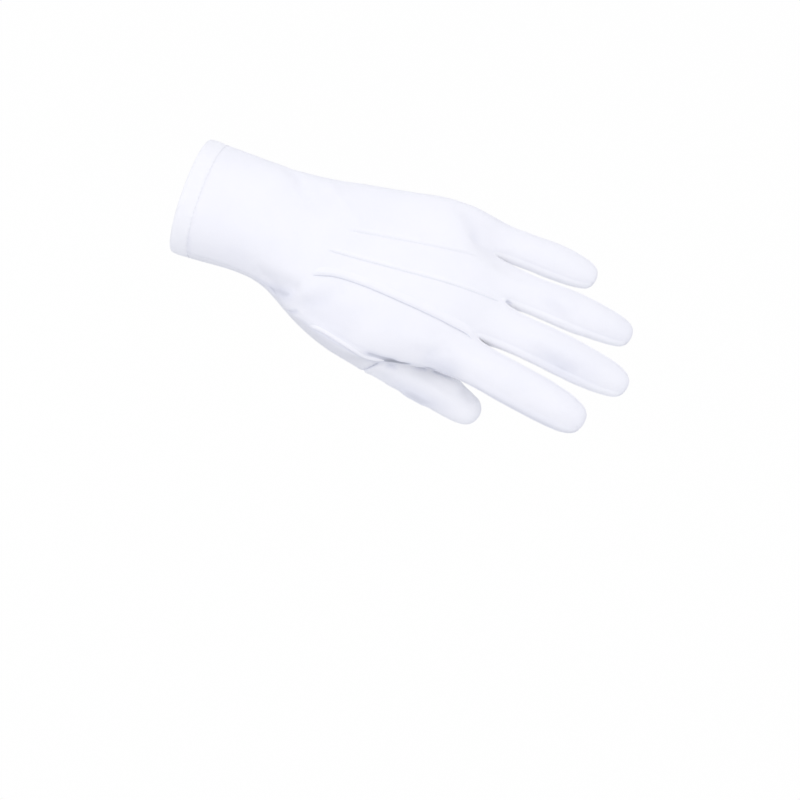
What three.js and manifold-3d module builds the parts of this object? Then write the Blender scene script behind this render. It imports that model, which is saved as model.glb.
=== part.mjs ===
// A short white dress glove for the left hand, in the form that it has when worn, in millimetres, +Z up.
// The wrist runs along X, the fingers point along +X, the back of the hand faces +Z and the thumb is on
// the -Y side. The origin is the centre of the wrist opening.
//
// The glove is one cage of quads, which subdivision rounds into a smooth hand. Each quad belongs to one
// cloth piece: the back with its finger backs, the palm with its finger fronts, the thumb, the three
// strips between the fingers, and the turned hem. The cage gives the outside of the cloth, and each piece
// is thickened inwards from it.

import * as THREE from "three";
import Module from "manifold-3d";

const CLOTH = 1.1; // thickness of one layer of cloth
const HEM_CLOTH = 2.0; // the hem is two layers
const SEAM_GAP = 0.36; // between the edges of two pieces
const SHARPEST_CORNER = 0.35; // limits how far the corner of a piece is drawn back
const TUCK_WIDE = 2.2; // the three raised lines on the back
const TUCK_HIGH = 1.1;
const TUCK_SUNK = 0.5; // how far a raised line's foot stands in the cloth
const TUCK_STEPS = 26;
const TUCK_TAPER = { steps: 5, end: 0.35 }; // its ends narrow over these steps to this share
const TUCK_SHOULDER = 0.35; // of its height, at its edges
const FLAT_ENOUGH = 0.03; // where the raised lines join the back, points nearer than this are merged

// A table's rows as records, with its columns named once.
function table(columns, rows) {
  return rows.map((row) => Object.fromEntries(columns.map((name, i) => [name, row[i]])));
}

// The cage runs in lines from the wrist to the fingers. LINES of them go round the hand: line 0 is the
// thumb side's seam, lines 1 to 9 are on the back, line 10 is the little finger's seam, and lines 11 to 19
// come back over the palm.
const LINES = 20;
const HALF = LINES / 2;

// Rings of the hand from the wrist opening to the knuckles. x, y and z are the ring's centre, half is its
// half width, up and down are its heights above and below the centre, square is 2 for an ellipse and more
// for a boxier ring, knuckle shares out the lines as the fingers do, slant leans the ring back on the
// little finger's side, fall is how far that side falls back behind the rest, thenar is how far the ball
// of the thumb swells, and out and lift are how far the seam on the thumb's side stands out and up.
const HAND = table(
  ["x", "y", "z", "half", "up", "down", "square", "knuckle", "slant", "fall", "thenar", "out", "lift"],
  [
    [0, 0, 0, 30.0, 21.0, 21.5, 2.0, 0, 2.2, 0, 0, 0, 0],
    [8.5, 0, 0, 29.9, 21.0, 21.5, 2.05, 0, 2.1, 0, 0, 0, 0],
    [26, 0.6, 0, 28.8, 20.8, 21.0, 2.15, 0, 1.5, 0, 0, 0, 0],
    [43, 1.2, 0, 28.7, 20.2, 19.6, 2.15, 0.1, 0.7, 0, 0, 0, 0],
    [56, -0.6, 0, 31.7, 19.8, 19.2, 2.2, 0.2, 0, 0, 1.5, 0, 0],
    [67, -3.0, 0, 36.6, 19.6, 19.2, 2.25, 0.35, 0, 0, 3, 0.8, 3],
    [82, -3.6, 0, 40.7, 19.2, 19.0, 2.3, 0.5, 0, 0, 6, 2, 9],
    [100, -2.9, 0, 43.8, 18.6, 18.0, 2.4, 0.75, 0, 1, 7, 4, 8],
    [118, -0.4, -0.5, 45.4, 18.0, 16.6, 2.5, 1, 0, 4, -2, 1.5, 3],
    [136, 3.1, -2, 44.1, 16.6, 14.2, 2.5, 1, 0, 9, -1.5, 0, 0],
  ],
);
const HEM_ROWS = 1; // the first rows of quads are the hem
const THUMB_ROWS = [6, 8]; // the thumb leaves the palm between these rings
const THENAR_SHARES = [0.3, 0.9, 1, 0.7, 0.3]; // of the swelling, for the palm's lines from the thumb side
const THENAR_OUT = 0.7; // share of the swelling that goes outwards

// Each finger's base, how far it turns sideways and drops in degrees, how much more it curls by the tip,
// its length from the base, its width and its thickness.
const FINGERS = table(
  ["name", "x", "y", "z", "turn", "drop", "curl", "length", "wide", "thick"],
  [
    ["index", 154, -28.1, -5.5, -4.7, 6, 8, 61.5, 20.5, 19.4],
    ["middle", 159, -6.1, -4, -1.6, 6, 8, 67.6, 19.5, 18.8],
    ["ring", 157, 15.3, -5, 2.6, 6, 9, 62.2, 18.5, 17.8],
    ["little", 145, 37.4, -7, 3.5, 6, 9, 48, 17.2, 16.4],
  ],
);
const SHOULDER = 0.36; // share of an outer finger's width from its middle to the line beside it
const CURL_STEPS = 40;
// Sections of a finger from its base to its tip: at is the share of the length, wide and thick are shares
// of the finger's own size, and side is the angle in degrees from its side to the edge of its strip.
const FINGER_SECTIONS = table(
  ["at", "wide", "thick", "side"],
  [
    [0.0, 1.0, 1.0, 45],
    [0.16, 0.98, 0.99, 36],
    [0.36, 0.98, 0.98, 33],
    [0.56, 1.0, 0.98, 31],
    [0.76, 0.93, 0.92, 30],
    [0.92, 0.82, 0.78, 30],
    [1.02, 0.56, 0.54, 36],
  ],
);
const TIP_RISE = 0.03; // the tip's own point stands this share of the length past the last section

// The strips of cloth between the fingers, from the thumb's side: x is the bottom of the gap.
const STRIPS = table(
  ["name", "x"],
  [
    ["strip_index_middle", 155],
    ["strip_middle_ring", 161.5],
    ["strip_ring_little", 142.3],
  ],
);

// Sections of the thumb, from the palm to the tip. turn is towards the thumb side and drop is downwards,
// in degrees, and roll turns the section about its own axis, so that its back faces up and outwards.
const THUMB = table(
  ["x", "y", "z", "turn", "drop", "roll", "wide", "thick"],
  [
    [103, -40, -15.2, -78, 40, 5, 28, 23],
    [114.2, -36.8, -21, -28, 24, 30, 20, 19.4],
    [127.2, -37.3, -22.8, -4, 12, 35, 19.4, 18.6],
    [139.2, -39.2, -22.9, -5, 6, 35, 19.4, 18.4],
    [150.5, -41.3, -23.6, -7, 8, 35, 19.2, 17.4],
    [159.8, -42.8, -25.2, -8, 10, 35, 16.8, 14.6],
    [166.8, -44, -26.8, -8, 12, 35, 11.2, 9.6],
  ],
);
const THUMB_TIP = [170, -44.5, -27.6];
const THUMB_SEAM = 1; // the thumb's own cloth starts at this section
const THUMB_EDGE = 45; // degrees from its side to the next point of a section

// Soft folds in the cloth, seen from above: each runs from (x1, y1) to (x2, y2), is wide to either side,
// and rises by high, or sinks if that is negative. side is 1 on the back and -1 on the palm.
const FOLDS = table(
  ["name", "side", "x1", "y1", "x2", "y2", "wide", "high"],
  [
    ["little finger's base", 1, 124, 37, 141, 23, 4.5, -1.3],
    ["wrist dent", 1, 42, 24, 55, 13, 5, -1.0],
    ["wrist ridge", 1, 60, 25, 84, 7, 5, 0.8],
    ["fold at the thumb's root", 1, 49, -31, 68, -33, 4.5, -2.2],
    ["rise beside it", 1, 84, -26, 67, -37, 4.5, 0.6],
    ["second fold", 1, 73, -39, 89, -29, 4.5, -0.4],
    ["index finger's base", 1, 145, -33, 133, -39, 5, -0.8],
    ["middle finger's joint", 1, 186, -14, 204, -14, 5, -0.9],
    ["ring finger's joint", 1, 175, 12, 190, 9.5, 5, -0.9],
    ["hollow of the palm", -1, 78, 4, 112, 8, 13, -3.0],
    ["crease round the thumb's ball", -1, 66, -8, 100, -17, 5, -1.2],
    ["crease below the fingers", -1, 124, 30, 132, -20, 4.5, -1.0],
  ],
);

const FACING = [-0.1, 0.35]; // a fold fades out where the cloth turns away from its side

// The raised lines on the back, from the wrist to the knuckles, as (x, y) seen from above.
const TUCKS = {
  ring_side: [[80.5, 2], [96.5, 4.6], [110, 8.4], [124.4, 12], [138, 16]],
  middle: [
    [75.5, -12], [85.3, -11.2], [102, -9], [118, -6.8], [133, -3.9], [144.4, -1.5], [155.5, 0.6],
  ],
  index_side: [
    [76, -25], [85, -22.6], [93.4, -21.9], [107.4, -21.4], [124, -21.4], [139.4, -21.9], [152, -22.3],
  ],
};

const rad = THREE.MathUtils.degToRad;
const mix = THREE.MathUtils.lerp;
const vec = (x, y, z) => new THREE.Vector3(x, y, z);
const meanOf = (list) => list.reduce((sum, p) => sum.add(p), vec(0, 0, 0)).divideScalar(list.length);

// A corner of the cage rounds to a lower place. This is how much further out it has to be, for the angles
// in degrees from it to the corners before and after it.
const swellFor = (before, after) => 6 / (4 + Math.cos(rad(before)) + Math.cos(rad(after)));

const cage = { points: [], faces: [] };
const addPoint = (x, y, z) => cage.points.push(vec(x, y, z)) - 1;
const addFace = (piece, ...corners) => cage.faces.push({ piece, corners });

// How far across the hand each of the lines 0 to 10 lies at the knuckles, from -1 to 1.
function knuckleShares() {
  const [index, middle, ring, little] = FINGERS;
  const low = index.y - index.wide / 2;
  const high = little.y + little.wide / 2;
  const between = (a, b) => (a.y + b.y) / 2;
  const places = [
    low, index.y - index.wide * SHOULDER, index.y, between(index, middle), middle.y, between(middle, ring),
    ring.y, between(ring, little), little.y, little.y + little.wide * SHOULDER, high,
  ];
  return places.map((y) => (2 * (y - low)) / (high - low) - 1);
}

function handRing(row, shares) {
  const swell = swellFor(360 / LINES, 360 / LINES);
  return Array.from({ length: LINES }, (_, line) => {
    const palm = line > HALF;
    const j = palm ? LINES - line : line;
    const across = mix(-Math.cos((Math.PI * j) / HALF), shares[j], row.knuckle);
    const height = (1 - Math.abs(across) ** row.square) ** (1 / row.square);
    const thenar = palm ? row.thenar * (THENAR_SHARES[j] ?? 0) : 0;
    const [out, lift] = line === 0 ? [row.out, row.lift] : [0, 0];
    return addPoint(
      row.x - row.fall * Math.max(0, across) ** 2 - row.slant * across,
      row.y + across * row.half * swell - thenar * THENAR_OUT - out,
      row.z + height * swell * (palm ? -row.down : row.up) - thenar + lift,
    );
  });
}

// A section's own axes: ahead along the finger, side across it and up through its back.
function axesOf(turn, drop, roll = 0) {
  const [t, d] = [rad(turn), rad(drop)];
  const ahead = vec(Math.cos(d) * Math.cos(t), Math.cos(d) * Math.sin(t), -Math.sin(d));
  const side = vec(-Math.sin(t), Math.cos(t), 0).applyAxisAngle(ahead, rad(roll));
  return { ahead, side, up: ahead.clone().cross(side) };
}

// Eight points round a centre. They start at the side nearest the little finger and go over the back.
function roundSection(centre, axes, wide, thick, edge) {
  const angles = [0, edge, 90, 180 - edge, 180, 180 + edge, 270, 360 - edge];
  return angles.map((angle, i) => {
    const before = (angle - angles.at(i - 1) + 360) % 360;
    const after = (angles[(i + 1) % 8] - angle + 360) % 360;
    const swell = swellFor(before, after) / 2;
    return centre
      .clone()
      .addScaledVector(axes.side, Math.cos(rad(angle)) * swell * wide)
      .addScaledVector(axes.up, Math.sin(rad(angle)) * swell * thick);
  });
}

// A place on a finger's curling axis, at a share of its length.
function fingerPlace(finger, share) {
  const p = vec(finger.x, finger.y, finger.z);
  for (let i = 0; i < CURL_STEPS; i++) {
    const along = (share * (i + 0.5)) / CURL_STEPS;
    const { ahead } = axesOf(finger.turn, finger.drop + finger.curl * along);
    p.addScaledVector(ahead, (finger.length * share) / CURL_STEPS);
  }
  return p;
}

function fingerTube(finger) {
  return FINGER_SECTIONS.map((s) => {
    const centre = fingerPlace(finger, s.at);
    const axes = axesOf(finger.turn, finger.drop + finger.curl * s.at);
    return roundSection(centre, axes, finger.wide * s.wide, finger.thick * s.thick, s.side);
  });
}

// The quads of a tube between two rings of eight points. pieceAt names each column's cloth.
function joinRings(from, to, pieceAt) {
  from.forEach((_, i) => addFace(pieceAt(i), from[i], from[(i + 1) % 8], to[(i + 1) % 8], to[i]));
}

// Closes a finger's last ring with four quads round one point, two of them on the upper side's cloth.
function closeTip(ring, tip, upper, lower) {
  addFace(upper, ring[1], ring[2], tip, ring[0]);
  addFace(upper, ring[2], ring[3], ring[4], tip);
  addFace(lower, tip, ring[4], ring[5], ring[6]);
  addFace(lower, ring[0], tip, ring[6], ring[7]);
}

function buildHand() {
  const shares = knuckleShares();
  const rings = HAND.map((row) => handRing(row, shares));
  rings.slice(1).forEach((to, r) => {
    const from = rings[r];
    for (let i = 0; i < LINES; i++) {
      const thumbHole = r >= THUMB_ROWS[0] && r < THUMB_ROWS[1] && i >= LINES - 2;
      if (thumbHole) continue;
      const piece = r < HEM_ROWS ? "cuff_hem" : i < HALF ? "back" : "palm";
      const next = (i + 1) % LINES;
      addFace(piece, from[i], to[i], to[next], from[next]);
    }
  });
  return rings;
}

// The hand's last ring lies at the finger bases: a line over the middle of each finger, the outer
// shoulders and seams, and one shared point above and one below each gap. Each gap also has a point at
// its middle height.
function buildKnuckles(knuckles, tubes) {
  const last = new Array(LINES);
  const palmLine = (line) => (LINES - line) % LINES;
  const put = (line, p) => (last[line] = addPoint(p.x, p.y, p.z));
  tubes.forEach(([base], f) => {
    put(2 * f + 2, base[2]);
    put(palmLine(2 * f + 2), base[6]);
  });
  const [thumbSide, littleSide] = [tubes[0][0], tubes[3][0]];
  put(0, thumbSide[4]);
  put(1, thumbSide[3]);
  put(palmLine(1), thumbSide[5]);
  put(HALF, littleSide[0]);
  put(HALF - 1, littleSide[1]);
  put(HALF + 1, littleSide[7]);
  const middles = STRIPS.map((strip, s) => {
    const [near, far] = [tubes[s][0], tubes[s + 1][0]];
    const gapPoint = (a, b) => meanOf([a, b]).setX(strip.x);
    put(2 * s + 3, gapPoint(near[1], far[3]));
    put(palmLine(2 * s + 3), gapPoint(near[7], far[5]));
    const middle = gapPoint(near[0], far[4]);
    return addPoint(middle.x, middle.y, middle.z);
  });
  for (let i = 0; i < LINES; i++) {
    const next = (i + 1) % LINES;
    addFace(i < HALF ? "back" : "palm", knuckles[i], last[i], last[next], knuckles[next]);
  }
  // Each finger's own ring within that one, in the order of roundSection.
  return tubes.map((_, f) => {
    const line = 2 * f + 2;
    const around = [1, 0, -1].map((k) => last[line + k]);
    const under = [-1, 0, 1].map((k) => last[palmLine(line + k)]);
    return [middles[f] ?? last[HALF], ...around, middles[f - 1] ?? last[0], ...under];
  });
}

function buildFingers(knuckles) {
  const tubes = FINGERS.map(fingerTube);
  buildKnuckles(knuckles, tubes).forEach((base, f) => {
    const [before, after] = [STRIPS[f - 1]?.name, STRIPS[f]?.name];
    const over = [after ?? "back", "back", "back", before ?? "back"];
    const under = [before ?? "palm", "palm", "palm", after ?? "palm"];
    const columns = [...over, ...under];
    let from = base;
    tubes[f].slice(1).forEach((section) => {
      const to = section.map((p) => addPoint(p.x, p.y, p.z));
      joinRings(from, to, (i) => columns[i]);
      from = to;
    });
    const tip = fingerPlace(FINGERS[f], FINGER_SECTIONS.at(-1).at + TIP_RISE);
    closeTip(from, addPoint(tip.x, tip.y, tip.z), "back", "palm");
  });
}

// The thumb grows out of a hole of two by two quads below the thumb side's seam.
function buildThumb(rings) {
  const [a, b, c] = [THUMB_ROWS[0], THUMB_ROWS[0] + 1, THUMB_ROWS[1]].map((row) => rings[row]);
  const [seam, mid, low] = [0, LINES - 1, LINES - 2];
  let from = [c[mid], c[seam], b[seam], a[seam], a[mid], a[low], b[low], c[low]];
  THUMB.forEach((s, k) => {
    const axes = axesOf(s.turn, s.drop, s.roll);
    const section = roundSection(vec(s.x, s.y, s.z), axes, s.wide, s.thick, THUMB_EDGE);
    const to = section.map((p) => addPoint(p.x, p.y, p.z));
    joinRings(from, to, () => (k <= THUMB_SEAM ? "palm" : "thumb"));
    from = to;
  });
  closeTip(from, addPoint(...THUMB_TIP), "thumb", "thumb");
}

const edgeKey = (v, w) => Math.min(v, w) + "_" + Math.max(v, w);

// What meets at each point of a quad mesh: its neighbours, the corners across its quads, its quads, and its
// neighbours along an open edge.
function meetings({ points, faces }) {
  const edges = new Map();
  const around = points.map(() => ({ near: new Set(), across: [], faces: [], open: [] }));
  faces.forEach(({ corners }, f) => {
    corners.forEach((v, i) => {
      const next = corners[(i + 1) % 4];
      const key = edgeKey(v, next);
      if (!edges.has(key)) edges.set(key, { ends: [v, next], faces: [] });
      edges.get(key).faces.push(f);
      around[v].near.add(next).add(corners[(i + 3) % 4]);
      around[v].across.push(corners[(i + 2) % 4]);
      around[v].faces.push(f);
    });
  });
  for (const { ends, faces: sides } of edges.values()) {
    if (sides.length > 1) continue;
    around[ends[0]].open.push(ends[1]);
    around[ends[1]].open.push(ends[0]);
  }
  return { edges, around };
}

// One step of Catmull and Clark's subdivision.
function subdivide(mesh) {
  const { points, faces } = mesh;
  const { edges, around } = meetings(mesh);
  const middles = faces.map(({ corners }) => meanOf(corners.map((v) => points[v])));
  const out = { points: [], faces: [] };
  const add = (p) => out.points.push(p) - 1;
  points.forEach((p, v) => {
    const { near, faces: sides, open } = around[v];
    if (open.length) {
      add(p.clone().multiplyScalar(0.75).addScaledVector(meanOf(open.map((w) => points[w])), 0.25));
      return;
    }
    const n = near.size;
    const ring = meanOf([...near].map((w) => points[w]));
    const mids = meanOf(sides.map((f) => middles[f]));
    add(p.clone().multiplyScalar((n - 2) / n).addScaledVector(ring, 1 / n).addScaledVector(mids, 1 / n));
  });
  const middlePoint = middles.map(add);
  const edgePoint = new Map();
  for (const [key, { ends, faces: sides }] of edges) {
    const touching = ends.map((v) => points[v]);
    if (sides.length === 2) touching.push(...sides.map((f) => middles[f]));
    edgePoint.set(key, add(meanOf(touching)));
  }
  faces.forEach(({ piece, corners }, f) => {
    corners.forEach((v, i) => {
      const [ahead, behind] = [corners[(i + 1) % 4], corners[(i + 3) % 4]];
      const quad = [v, edgePoint.get(edgeKey(v, ahead)), middlePoint[f], edgePoint.get(edgeKey(behind, v))];
      out.faces.push({ piece, corners: quad });
    });
  });
  return out;
}

// Where endless subdivision would bring each point.
function settledPoints(mesh) {
  const { around } = meetings(mesh);
  return mesh.points.map((p, v) => {
    const { near, across, open } = around[v];
    if (open.length) {
      const beside = meanOf(open.map((w) => mesh.points[w]));
      return p.clone().multiplyScalar(2 / 3).addScaledVector(beside, 1 / 3);
    }
    const n = near.size;
    const sum = p.clone().multiplyScalar(n * n);
    near.forEach((w) => sum.addScaledVector(mesh.points[w], 4));
    across.forEach((w) => sum.add(mesh.points[w]));
    return sum.divideScalar(n * (n + 5));
  });
}

function normalsOf(points, faces) {
  const normals = points.map(() => vec(0, 0, 0));
  faces.forEach(({ corners }) => {
    const [a, b, c, d] = corners.map((v) => points[v]);
    const facing = c.clone().sub(a).cross(d.clone().sub(b));
    corners.forEach((v) => normals[v].add(facing));
  });
  return normals.map((n) => n.normalize());
}

// How far all folds together move a point of the cloth outwards.
function foldHeight(p, normal) {
  return FOLDS.reduce((sum, fold) => {
    const facing = THREE.MathUtils.smoothstep(normal.z * fold.side, ...FACING);
    const [dx, dy] = [fold.x2 - fold.x1, fold.y2 - fold.y1];
    const t = ((p.x - fold.x1) * dx + (p.y - fold.y1) * dy) / (dx * dx + dy * dy);
    const along = THREE.MathUtils.clamp(t, 0, 1);
    const off = Math.hypot(p.x - fold.x1 - along * dx, p.y - fold.y1 - along * dy) / fold.wide;
    return sum + fold.high * facing * Math.exp(-2 * off * off);
  }, 0);
}

function clothSurface() {
  const rings = buildHand();
  buildFingers(rings.at(-1));
  buildThumb(rings);
  const mesh = subdivide(cage);
  const smooth = settledPoints(mesh);
  const facing = normalsOf(smooth, mesh.faces);
  const points = smooth.map((p, v) => p.clone().addScaledVector(facing[v], foldHeight(p, facing[v])));
  return { points, normals: normalsOf(points, mesh.faces), faces: mesh.faces };
}

// The direction along the cloth from an edge of a piece into the piece.
function intoPiece(point, normal, end, middle) {
  const along = end.clone().sub(point).projectOnPlane(normal).normalize();
  return middle.clone().sub(point).projectOnPlane(normal).projectOnPlane(along).normalize();
}

function geometryFrom(positions, index) {
  const geometry = new THREE.BufferGeometry();
  geometry.setAttribute("position", new THREE.BufferAttribute(new Float32Array(positions), 3));
  geometry.setIndex(new THREE.BufferAttribute(new Uint32Array(index), 1));
  return geometry;
}

// One piece's quads thickened inwards into a closed solid. Its edges are drawn back along the cloth, so
// that the pieces on both sides of a seam stand apart.
function clothGeometry(surface, piece, thickness) {
  const quads = surface.faces.filter((f) => f.piece === piece).map((f) => f.corners);
  const slot = new Map();
  quads.flat().forEach((v) => slot.has(v) || slot.set(v, slot.size));
  const uses = new Map();
  quads.forEach((q) => q.forEach((v, i) => {
    const key = edgeKey(v, q[(i + 1) % 4]);
    uses.set(key, (uses.get(key) ?? 0) + 1);
  }));
  const onRim = (v, w) => uses.get(edgeKey(v, w)) === 1;
  const rim = new Map();
  quads.forEach((q) => {
    const middle = meanOf(q.map((v) => surface.points[v]));
    q.forEach((v, i) => {
      for (const w of [q[(i + 1) % 4], q[(i + 3) % 4]].filter((w) => onRim(v, w))) {
        if (!rim.has(v)) rim.set(v, []);
        rim.get(v).push(intoPiece(surface.points[v], surface.normals[v], surface.points[w], middle));
      }
    });
  });
  const n = slot.size;
  const places = new Array(2 * n);
  for (const [v, i] of slot) {
    const outer = surface.points[v].clone();
    const normal = surface.normals[v];
    if (rim.has(v)) {
      const [into, also] = rim.get(v);
      const corner = Math.max(SHARPEST_CORNER, 1 + into.dot(also));
      outer.addScaledVector(into.clone().add(also), SEAM_GAP / 2 / corner);
    }
    places[i] = outer;
    places[n + i] = outer.clone().addScaledVector(normal, -thickness);
  }
  const index = [];
  quads.forEach((q) => {
    const [a, b, c, d] = q.map((v) => slot.get(v));
    const shortAC = places[a].distanceTo(places[c]) < places[b].distanceTo(places[d]);
    const halves = shortAC ? [[a, b, c], [a, c, d]] : [[a, b, d], [b, c, d]];
    halves.forEach(([p, r, s]) => index.push(p, r, s, n + p, n + s, n + r));
    q.forEach((v, i) => {
      const w = q[(i + 1) % 4];
      if (!onRim(v, w)) return;
      const [p, r] = [slot.get(v), slot.get(w)];
      // Both pieces at a seam split its wall along the same diagonal, which keeps the walls parallel.
      if (v < w) index.push(p, n + p, r, r, n + p, n + r);
      else index.push(p, n + p, n + r, p, n + r, r);
    });
  });
  return geometryFrom(places.flatMap((p) => [...p]), index);
}

// The height of the back's outer face at a place seen from above.
function backHeight(surface, x, y) {
  let best = -Infinity;
  const spot = new THREE.Vector2(x, y);
  for (const { piece, corners } of surface.faces) {
    if (piece !== "back") continue;
    const [a, b, c, d] = corners.map((v) => surface.points[v]);
    for (const half of [[a, b, c], [a, c, d]]) {
      const [u, v, w] = half.map((p) => new THREE.Vector2(p.x, p.y));
      const area = v.clone().sub(u).cross(w.clone().sub(u));
      const s = spot.clone().sub(u).cross(w.clone().sub(u)) / area;
      const t = v.clone().sub(u).cross(spot.clone().sub(u)) / area;
      if (s < 0 || t < 0 || s + t > 1) continue;
      best = Math.max(best, half[0].z * (1 - s - t) + half[1].z * s + half[2].z * t);
    }
  }
  return best;
}

// A raised line of cloth over the back: a low ridge that tapers at both ends.
function tuckGeometry(surface, path) {
  const curve = new THREE.CatmullRomCurve3(path.map(([x, y]) => vec(x, y, 0)));
  const positions = [];
  for (let i = 0; i <= TUCK_STEPS; i++) {
    const p = curve.getPointAt(i / TUCK_STEPS);
    const heading = curve.getTangentAt(i / TUCK_STEPS);
    const fromEnd = Math.min(1, Math.min(i, TUCK_STEPS - i) / TUCK_TAPER.steps);
    const taper = mix(TUCK_TAPER.end, 1, Math.sin((Math.PI / 2) * fromEnd));
    const [half, high] = [(TUCK_WIDE / 2) * taper, TUCK_HIGH * taper];
    const rightSide = [[half / 2, high], [half, high * TUCK_SHOULDER], [half, -TUCK_SUNK]];
    const leftSide = rightSide.map(([off, rise]) => [-off, rise]).reverse();
    for (const [off, rise] of [...leftSide, ...rightSide]) {
      const [x, y] = [p.x - heading.y * off, p.y + heading.x * off];
      positions.push(x, y, backHeight(surface, x, y) + rise);
    }
  }
  const ring = 6;
  const index = [];
  for (let i = 0; i < TUCK_STEPS; i++) {
    for (let k = 0; k < ring; k++) {
      const [a, b] = [i * ring + k, i * ring + ((k + 1) % ring)];
      index.push(a, b + ring, b, a, a + ring, b + ring);
    }
  }
  const end = TUCK_STEPS * ring;
  for (let k = 1; k < ring - 1; k++) index.push(0, k, k + 1, end, end + k + 1, end + k);
  return geometryFrom(positions, index);
}

const manifold = await Module();
manifold.setup();

function solidOf(geometry) {
  const vertProperties = geometry.attributes.position.array;
  const mesh = new manifold.Mesh({ numProp: 3, vertProperties, triVerts: geometry.index.array });
  mesh.merge();
  return new manifold.Manifold(mesh);
}

// The back's cloth with the raised lines made one with it.
function withTucks(surface, cloth) {
  const tucks = Object.values(TUCKS).map((path) => solidOf(tuckGeometry(surface, path)));
  const joined = tucks.reduce((solid, tuck) => solid.add(tuck), solidOf(cloth));
  const { vertProperties, triVerts } = joined.simplify(FLAT_ENOUGH).getMesh();
  return geometryFrom(vertProperties, triVerts);
}

const whiteCloth = () => new THREE.MeshStandardMaterial({ color: 0xf1f1f8, roughness: 0.85, metalness: 0 });
const surface = clothSurface();
const glove = new THREE.Group();

function addPiece(name, geometry) {
  const mesh = new THREE.Mesh(geometry, whiteCloth());
  mesh.name = name;
  glove.add(mesh);
}

addPiece("cuff_hem", clothGeometry(surface, "cuff_hem", HEM_CLOTH));
addPiece("back", withTucks(surface, clothGeometry(surface, "back", CLOTH)));
for (const name of ["palm", "thumb", ...STRIPS.map((strip) => strip.name)]) {
  addPiece(name, clothGeometry(surface, name, CLOTH));
}

export default glove;
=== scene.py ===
"""The short white glove: a sewn cotton knit for each solid of the frame, with its folds and stitches.

Places and sizes are in millimetres in the frame's axes, and meshes are made in metres.
"""
import math
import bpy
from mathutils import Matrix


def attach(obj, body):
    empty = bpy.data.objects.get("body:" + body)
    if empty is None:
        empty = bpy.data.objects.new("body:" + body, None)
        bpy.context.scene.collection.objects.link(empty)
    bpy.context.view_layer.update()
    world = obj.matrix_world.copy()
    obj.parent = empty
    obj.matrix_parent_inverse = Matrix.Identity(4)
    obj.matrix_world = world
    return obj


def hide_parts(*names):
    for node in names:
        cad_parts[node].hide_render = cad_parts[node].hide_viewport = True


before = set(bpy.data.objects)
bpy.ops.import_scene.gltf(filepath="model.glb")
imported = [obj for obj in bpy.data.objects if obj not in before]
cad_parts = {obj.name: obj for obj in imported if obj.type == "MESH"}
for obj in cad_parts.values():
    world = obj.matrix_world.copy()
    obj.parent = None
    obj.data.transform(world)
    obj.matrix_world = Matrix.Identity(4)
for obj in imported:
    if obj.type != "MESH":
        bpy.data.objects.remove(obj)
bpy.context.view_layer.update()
from types import SimpleNamespace
import bpy
import numpy as np
from mathutils import Matrix, Vector, noise
from mathutils.bvhtree import BVHTree
from mathutils.kdtree import KDTree

MM = 0.001

# The cloth's own sizes
CLOTH = 1.1  # thickness of one layer
HEM_CLOTH = 2.0  # two layers
FINE = 4  # how often the cage is subdivided for the outside
COARSE = 3  # and for the inside
SEAM_DEEP = 0.5  # a seam's groove
SEAM_WIDE = 0.75
HEM_DEEP = 0.2
HEM_PUFF = 0.3  # how far the hem stands out between its edge and its stitches
HEM_ROUND = 0.7  # lower is fuller
RIM_RADIUS = HEM_CLOTH / 2  # of the hem's round edge at the wrist

# The cage's tables are the solids' own, with small changes to the hem, the fingers and the thumb. Lines run
# from the wrist to the fingers, LINES of them in all.
LINES = 20
HALF = LINES // 2
AROUND = 8  # points round a finger or the thumb
TOP, BOTTOM = 2, 6  # two of them
BACK, PALM, HEM, THUMB_CLOTH, STRIP_IM, STRIP_MR, STRIP_RL = range(7)
OVER, UNDER, SIDE, WRAP = range(4)  # the charts on which the knit is laid out


def table(columns, *rows, **given):
    """Rows as records, with their columns named once. given holds what a short row leaves out."""
    names = columns.split()
    return [SimpleNamespace(**{**given, **dict(zip(names, row))}) for row in rows]


HAND = table(
    "x y z half up down square knuckle slant fall thenar out lift",
    (0, 0, 0, 30.0, 21.0, 21.5, 2.0, 0, 2.2, 0, 0, 0, 0),
    (6.8, 0, 0, 29.9, 21.0, 21.5, 2.05, 0, 2.1, 0, 0, 0, 0),
    (26, 0.6, 0, 28.8, 20.8, 21.0, 2.15, 0, 1.5, 0, 0, 0, 0),
    (43, 1.2, 0, 28.7, 20.2, 19.6, 2.15, 0.1, 0.7, 0, 0, 0, 0),
    (56, -0.6, 0, 31.7, 19.8, 19.2, 2.2, 0.2, 0, 0, 0.9, 0, 0),
    (67, -3.0, 0, 36.6, 19.6, 19.2, 2.25, 0.35, 0, 0, 0.8, 0.8, 2),
    (82, -3.6, 0, 40.7, 19.2, 19.0, 2.3, 0.5, 0, 0, 4.2, 1.6, 8),
    (100, -2.9, 0, 43.8, 18.6, 18.0, 2.4, 0.75, 0, 1, 7, 4, 4),
    (118, -0.4, -0.5, 45.4, 18.0, 16.6, 2.5, 1, 0, 4, -2, 1.5, -1),
    (136, 3.1, -2, 44.1, 16.6, 14.2, 2.5, 1, 0, 9, -1.5, 0, 0),
)
THUMB_ROWS = (6, 8)  # the thumb leaves the palm between these rings
THENAR_SHARES = (0.3, 0.9, 1, 0.7, 0.3)
THENAR_OUT = 0.7
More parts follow.
